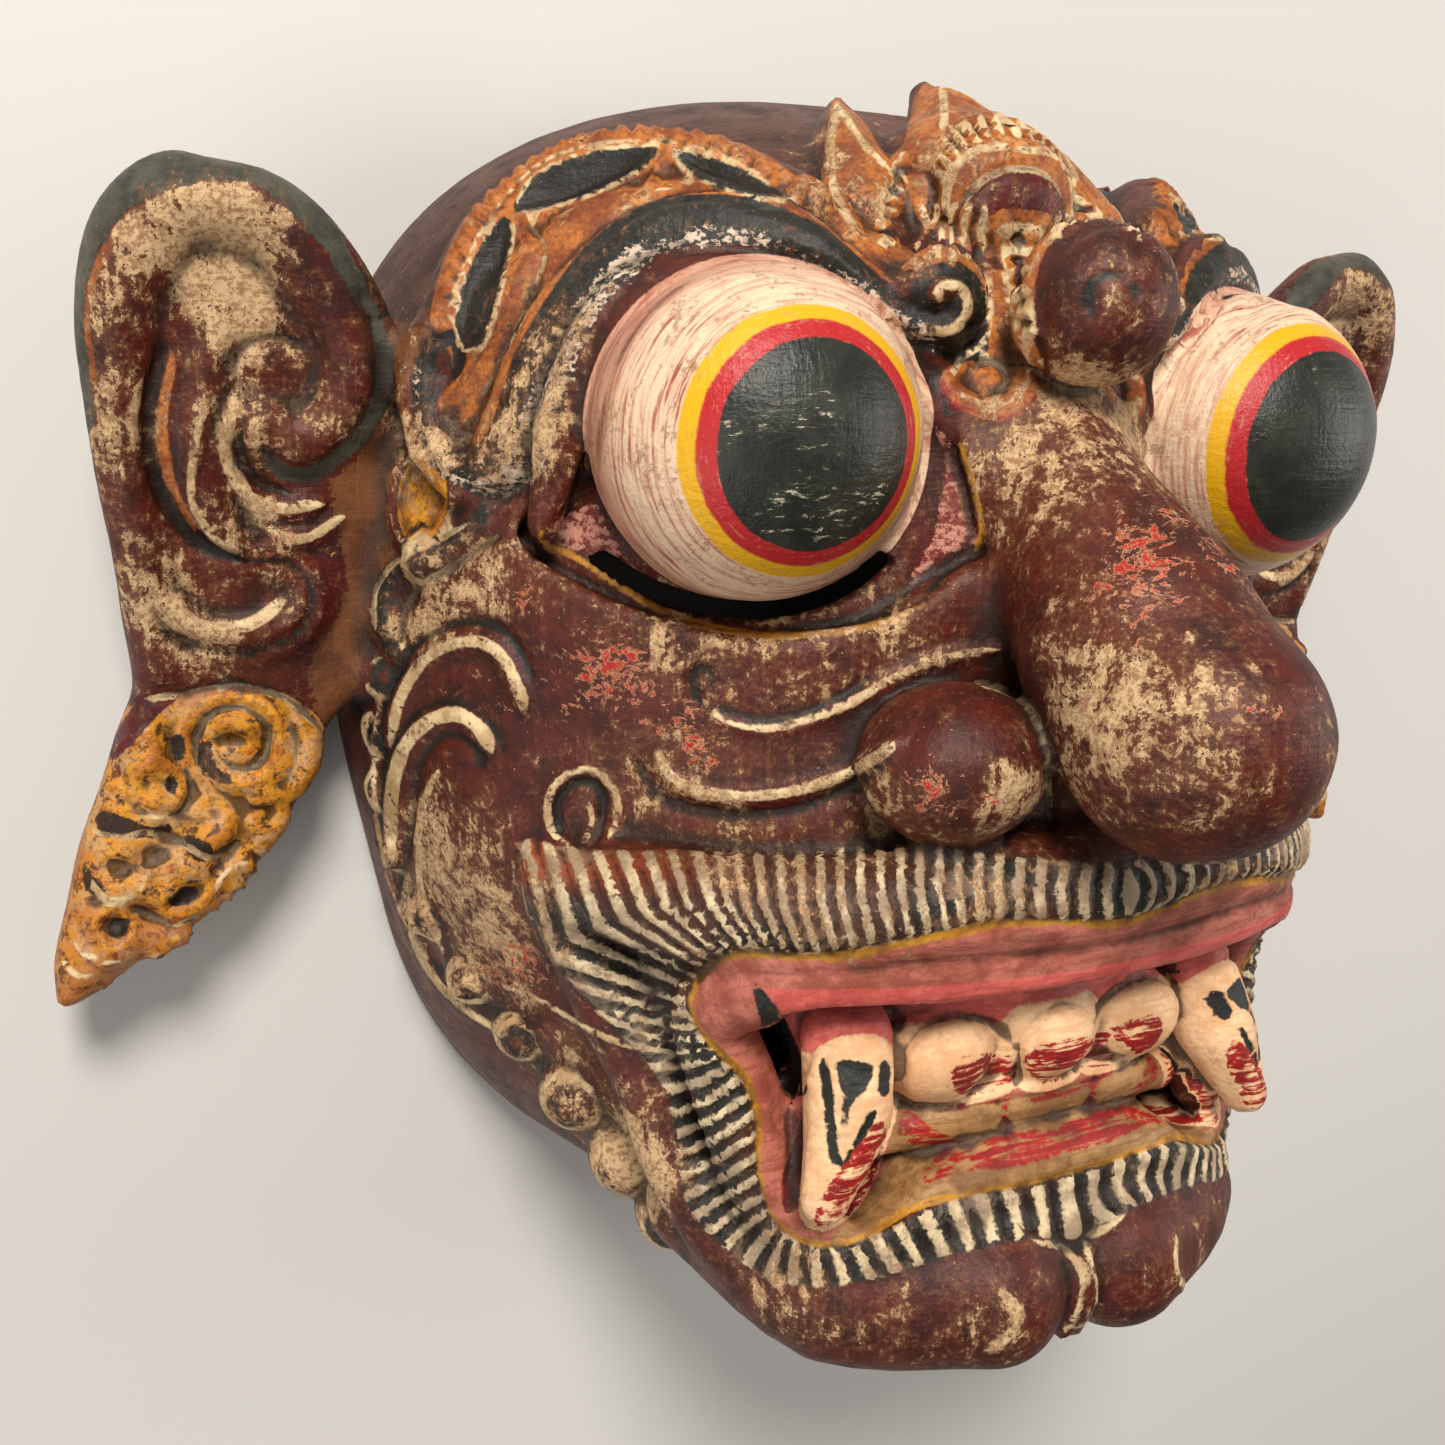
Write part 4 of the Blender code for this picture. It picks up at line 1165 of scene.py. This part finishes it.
# Each paint's main colour and its darker mottling
TONES = {
    "scalp": ((80, 43, 31), (54, 27, 19)),
    "brown": ((116, 70, 38), (84, 46, 26)),
    "orange": ((186, 110, 46), (128, 62, 26)),
    "gold": ((190, 120, 40), (92, 52, 22)),
    "deep": ((150, 80, 32), (106, 48, 22)),
    "bright": ((218, 150, 40), (180, 108, 26)),
    "umber": ((58, 36, 20), (40, 25, 15)),
    "wine": ((92, 22, 22), (56, 16, 14)),
    "grey": ((78, 78, 66), (52, 52, 44)),
    "black": ((36, 37, 30), (22, 22, 19)),
    "pale": ((214, 190, 166), (44, 42, 40)),
    "fleshy": ((196, 136, 118), (116, 44, 38)),
    "lip": ((194, 114, 96), (146, 72, 58)),
    "pink": ((222, 108, 98), (188, 78, 70)),
    "tan": ((172, 130, 82), (124, 86, 50)),
    "maroon": ((110, 20, 20), (70, 14, 14)),
    "tooth": ((246, 202, 156), (220, 168, 122)),
    "cream": ((228, 202, 156), (180, 148, 106)),
    "ochre": ((196, 138, 40), (136, 86, 28)),
    "yellow": ((228, 172, 26), (190, 130, 22)),
    "ink": ((34, 36, 30), (22, 22, 19)),
    "red": ((176, 34, 32), (126, 22, 22)),
}
# What the mesh carries at each of its points: the paints, then the guides for wear and colour
STORED = [*TONES, "band", "strand", "rust", "eye", "round", "ball", "wear", "flake", "plain", "bend"]
STORED += ["bend"] * (-len(STORED) % 3)
# How far a paint's edge wavers, where it isn't by the usual amount
WOBBLE = {"grey": 1.2, "pale": 2.2, "scalp": 2.0, "brown": 2.4, "red": 1.0, "tan": 0.8, "umber": 0.8,
          "gold": 0.6, "fleshy": 0.9, "bright": 0.7}
USUAL_WOBBLE = 0.5
# Angles from the eye's axis at which the pupil and its rings end, in degrees
PUPIL_EDGE = (35.0, 35.8)
RED_EDGE = (41.6, 42.8)
YELLOW_EDGE = (47.8, 49.0)
# How worn a place has to be for its paint to turn hazy, and to chip off
HAZY_FROM = (0.6, 0.68)
CHIPPED_FROM = (0.67, 0.685)
# Paints that come off in patches
WEARING = ("black", "pale", "orange")


def painted_wood():
    n = Nodes("painted_wood")
    fine = n.noise(1.1, 4, 0.7)
    chipped = n.noise(3.2, 6, 0.8, 0.4)
    mottle = n.noise(8, 4, 0.66)
    cloud = n.noise(34, 3, 0.55)
    blotch = n.noise(9, 6, 0.78, 0.5)
    # brush and knife marks run across the face in long thin streaks
    streak = n.noise((30, 1.3, 1.6), 3, 0.6, 0.35, (0.2, 0.1, 0.5))
    streak_down = n.noise((1.2, 16, 1.8), 4, 0.66, 0.3, (0.1, 0.0, -0.15))
    wear = n.stored("wear")
    bend = n.stored("bend")

    # body colour: maroon, browner in clouds and along the strokes
    base = n.mix(n.step(mottle, 0.36, 0.66), colour(84, 25, 15), colour(50, 15, 9))
    base = n.mix(n.step(cloud, 0.46, 0.64) * 0.45, base, colour(98, 44, 26))
    base = n.mix(n.step(streak, 0.5, 0.66) * 0.45, base, colour(58, 24, 16))
    base = n.mix(n.step(chipped, 0.52, 0.66) * 0.4, base, colour(110, 60, 36))
    base = n.mix(n.step(streak_down, 0.58, 0.72) * 0.25, base, colour(118, 54, 34))

    # painted areas with wavering hand-made edges
    waver = (mottle - 0.5) * 1.0 + (fine - 0.5) * 0.9
    rubbed = fine * 0.4 + blotch * 0.6 + wear * 0.1
    kept = 1.0 - n.step(rubbed, 0.585, 0.63)
    brushed_on = 1.0 - n.step(rubbed * 0.7 + streak * 0.3, 0.555, 0.6)
    solid = 0.0
    for name, (main, dark) in TONES.items():
        amount = WOBBLE.get(name, USUAL_WOBBLE)
        inside = n.stored(name) + waver * (amount * 2.2)
        share = n.step(inside, -0.2, 0.2)
        tone = n.mix(n.step(mottle, 0.4, 0.64), colour(*main), colour(*dark))
        if name in ("pale", "fleshy"):
            tone = n.mix(n.step(fine * 0.5 + streak * 0.5, 0.46, 0.54), colour(*dark), colour(*main))
        if name in ("orange", "deep", "bright"):
            tone = n.mix(n.step(fine, 0.46, 0.6) * 0.6, tone, colour(110, 52, 24))
            tone = n.mix(n.step(blotch, 0.54, 0.62) * 0.5, tone, colour(216, 168, 112))
        if name == "gold":
            tone = n.mix(n.step(chipped, 0.44, 0.5), colour(*dark), colour(204, 136, 40))
            tone = n.mix(n.step(blotch, 0.5, 0.55) * 0.65, tone, colour(204, 160, 112))
            tone = n.mix(n.step(cloud, 0.52, 0.6) * 0.5, tone, colour(150, 74, 34))
        if name in ("lip", "pink", "tan", "tooth", "red"):
            tone = n.mix(n.step(streak, 0.48, 0.62) * 0.65, tone, colour(*dark))
        if name == "red":
            share = share * n.step(streak + fine * 0.3, 0.54, 0.66)
        elif name == "cream":
            share = share * brushed_on
        elif name in WEARING:
            share = share * kept
        if name in ("grey", "ink", "tooth", "pink"):
            solid = n.math("MAXIMUM", solid, share)
        base = n.mix(share, base, tone)

    # moustache and beard: pale ridges with black between, rust ground at the upper end
    ridge = n.stored("strand") + (fine - 0.5) * 0.9
    ridge = ridge + (mottle - 0.5) * 0.5
    ground = n.mix(n.stored("rust"), colour(34, 32, 26), colour(150, 66, 36))
    ground = n.mix(n.step(blotch, 0.5, 0.6) * 0.7, ground, colour(128, 112, 94))
    ground = n.mix(n.step(cloud, 0.5, 0.62) * 0.5, ground, colour(92, 48, 30))
    hair = n.mix(n.step(mottle, 0.38, 0.6), colour(224, 202, 162), colour(160, 138, 112))
    hair = n.mix(n.step(ridge, 0.62, 0.82), ground, hair)
    base = n.mix(n.step(n.stored("band") + waver * 1.5, -0.3, 0.5), base, hair)

    # eyeballs: pupil, red ring, yellow ring, brushed white
    eye = n.stored("eye") + (mottle - 0.5) * 2.6
    eye = eye + (fine - 0.5) * 1.0
    polar = n.node("CombineXYZ", X=n.stored("eye") * 0.5, Y=n.stored("round") * 0.035)
    brushed = n.clouds(polar.outputs[0], 5.0, 0.7, 0.0, "2D")
    white = n.mix(n.step(brushed, 0.44, 0.62), colour(232, 202, 170), colour(206, 158, 132))
    white = n.mix(n.step(brushed, 0.56, 0.66) * n.step(cloud, 0.44, 0.56), white, colour(162, 84, 70))
    white = n.mix(n.step(n.stored("eye"), 66.0, 92.0) * 0.6, white, colour(178, 100, 80))
    stain = n.step(blotch * 0.6 + fine * 0.4, 0.53, 0.6) * 0.7
    white = n.mix(stain, white, colour(150, 108, 78))
    ring = n.mix(n.step(eye, *YELLOW_EDGE), colour(228, 172, 22), white)
    ring = n.mix(n.step(eye, *RED_EDGE), colour(182, 38, 42), ring)
    ring = n.mix(n.step(brushed * 0.6 + fine * 0.4, 0.56, 0.62) * 0.5, ring, white)
    fleck = n.noise((4, 0.8, 2.4), 5, 0.75, 0.6, (0, 0, 0.25)) * 0.8 + fine * 0.2
    scratch = n.step(fleck, 0.565, 0.6) * n.step(cloud * 0.6 + mottle * 0.4, 0.52, 0.57)
    pupil = n.mix(n.step(mottle, 0.4, 0.7), colour(34, 37, 32), colour(52, 54, 46))
    pupil = n.mix(scratch * 0.85, pupil, colour(196, 188, 160))
    ring = n.mix(n.step(eye, *PUPIL_EDGE), pupil, ring)
    on_ball = n.step(n.stored("ball") + (fine - 0.5) * 0.3, 0.0, 0.25)
    base = n.mix(on_ball, base, ring)

    # worn edges and open patches show the pale ground; the chips are small and gather in clouds
    off = 1.0 - on_ball
    high = n.step(bend, 0.02, 0.14)
    open_patch = blotch * 0.34 + wear * 0.2 + high * 0.03
    bare = fine * 0.22 + streak_down * 0.16 + (chipped * 0.34 + open_patch)
    bare = bare - solid * 0.05
    chips = n.step(bare, *CHIPPED_FROM) * off
    haze = n.step(bare, *HAZY_FROM) * 0.45 * off
    lines = n.step(streak * 0.7 + fine * 0.3, 0.71 - wear * 0.07, 0.715) * off
    flecks = n.step(n.noise(0.9, 2, 0.6), 0.7, 0.74) * off
    under = n.mix(n.step(fine, 0.44, 0.6), colour(216, 184, 138), colour(160, 120, 86))
    base = n.mix(haze, base, colour(130, 86, 56))
    base = n.mix(chips * 0.85, base, under)
    base = n.mix(lines * 0.7, base, under)
    base = n.mix(flecks * 0.45, base, under)
    # brighter red flakes edged by the pale ground
    flake = n.noise((6, 3.2, 4), 6, 0.8, 1.2) * 0.7 + chipped * 0.3
    flake = flake + n.stored("flake") * 0.2
    base = n.mix(n.step(flake, 0.661, 0.668) * off, base, colour(218, 176, 132))
    base = n.mix(n.step(flake, 0.67, 0.685) * off, base, colour(170, 38, 28))
    # dirt and painted shade in the hollows: the more sunken a point, the nearer its colour goes to near black
    hollow_dirt_and_shade = n.step(bend * -1.0, 0.01, 0.14) * 0.8
    base = n.mix(hollow_dirt_and_shade * off, base, colour(30, 19, 13))

    # behind and inside: plain wood under a thin brown wash
    grain = n.noise((3, 60, 5), 5, 0.6, 0.5, (0.0, 0.0, 0.1))
    wood = n.mix(n.step(grain, 0.35, 0.65), colour(150, 110, 74), colour(112, 78, 50))
    wood = n.mix(n.step(cloud, 0.45, 0.65) * 0.4, wood, colour(88, 60, 40))
    inside = n.step(n.stored("plain"), 0.4, 0.6)
    base = n.mix(inside, base, wood)
    n.put(n.shader.inputs["Base Color"], base)

    shine = 0.44 + n.step(mottle, 0.3, 0.7) * 0.14
    shine = shine + chips * 0.22
    shine = n.between(on_ball, shine, 0.34)
    shine = n.between(inside, shine, 0.7)
    n.put(n.shader.inputs["Roughness"], shine)
    n.shader.inputs["Specular IOR Level"].default_value = 0.35
    depth = (chips + lines) * -0.7 + fine * 0.5
    depth = depth + (streak * 0.5 + streak_down * 0.5)
    bump = n.node("Bump", Height=depth, Distance=0.0006, Strength=0.6)
    n.put(n.shader.inputs["Normal"], bump.outputs["Normal"])
    return n.material


def plain(name, rgb, rough):
    material = bpy.data.materials.new(name)
    material.use_nodes = True
    shader = material.node_tree.nodes["Principled BSDF"]
    shader.inputs["Base Color"].default_value = colour(*rgb)
    shader.inputs["Roughness"].default_value = rough
    return material


piece = settle(*carve())
piece.data.materials.append(painted_wood())
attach(piece, "root")
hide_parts("mask")

# Floor
FLOOR_HALF = 4.0
corners = np.array([(-1, -1, 0), (1, -1, 0), (1, 1, 0), (-1, 1, 0)]) * FLOOR_HALF
floor_mesh = new_mesh("floor", corners, np.array([(0, 1, 2, 3)]))
floor_mesh.materials.append(plain("pale_floor", (210, 208, 204), 0.8))
floor = bpy.data.objects.new("floor", floor_mesh)
bpy.context.scene.collection.objects.link(floor)


# Camera at the photograph's viewing angle
camera_data = bpy.data.cameras.new("camera")
camera_data.sensor_width = 36.0
camera_data.lens = FOCAL / FRAME * camera_data.sensor_width
camera_data.clip_start = 0.01
camera = bpy.data.objects.new("camera", camera_data)
bpy.context.scene.collection.objects.link(camera)
turn = Matrix([RIGHT, UP, BACK]).transposed().to_4x4()
spot = (EYE_POINT - [0, MIDDLE_Y, 0]) * UNIT
camera.matrix_world = Matrix.Translation(Vector(spot)) @ turn
bpy.context.scene.camera = camera


# Soft studio light
def lamp(name, place, size, power, tint):
    data = bpy.data.lights.new(name, "AREA")
    data.shape = "DISK"
    data.size = size
    data.energy = power
    data.color = tint
    body = bpy.data.objects.new(name, data)
    body.location = place
    aim = Vector((0, 0, 0.06)) - Vector(place)
    body.rotation_euler = aim.to_track_quat("-Z", "Y").to_euler()
    bpy.context.scene.collection.objects.link(body)


lamp("key", (-0.3, 0.7, 0.85), 0.35, 13.5, (1.0, 0.95, 0.88))
lamp("fill", (-0.8, -0.35, 0.6), 0.8, 3.5, (1.0, 0.97, 0.93))
lamp("side", (0.8, 0.1, 0.5), 0.5, 3.0, (1.0, 0.96, 0.92))
world = bpy.data.worlds.new("studio")
world.use_nodes = True
world.node_tree.nodes["Background"].inputs["Color"].default_value = (1.0, 0.98, 0.95, 1.0)
world.node_tree.nodes["Background"].inputs["Strength"].default_value = 0.17
bpy.context.scene.world = world
bpy.context.scene.view_settings.view_transform = "Standard"
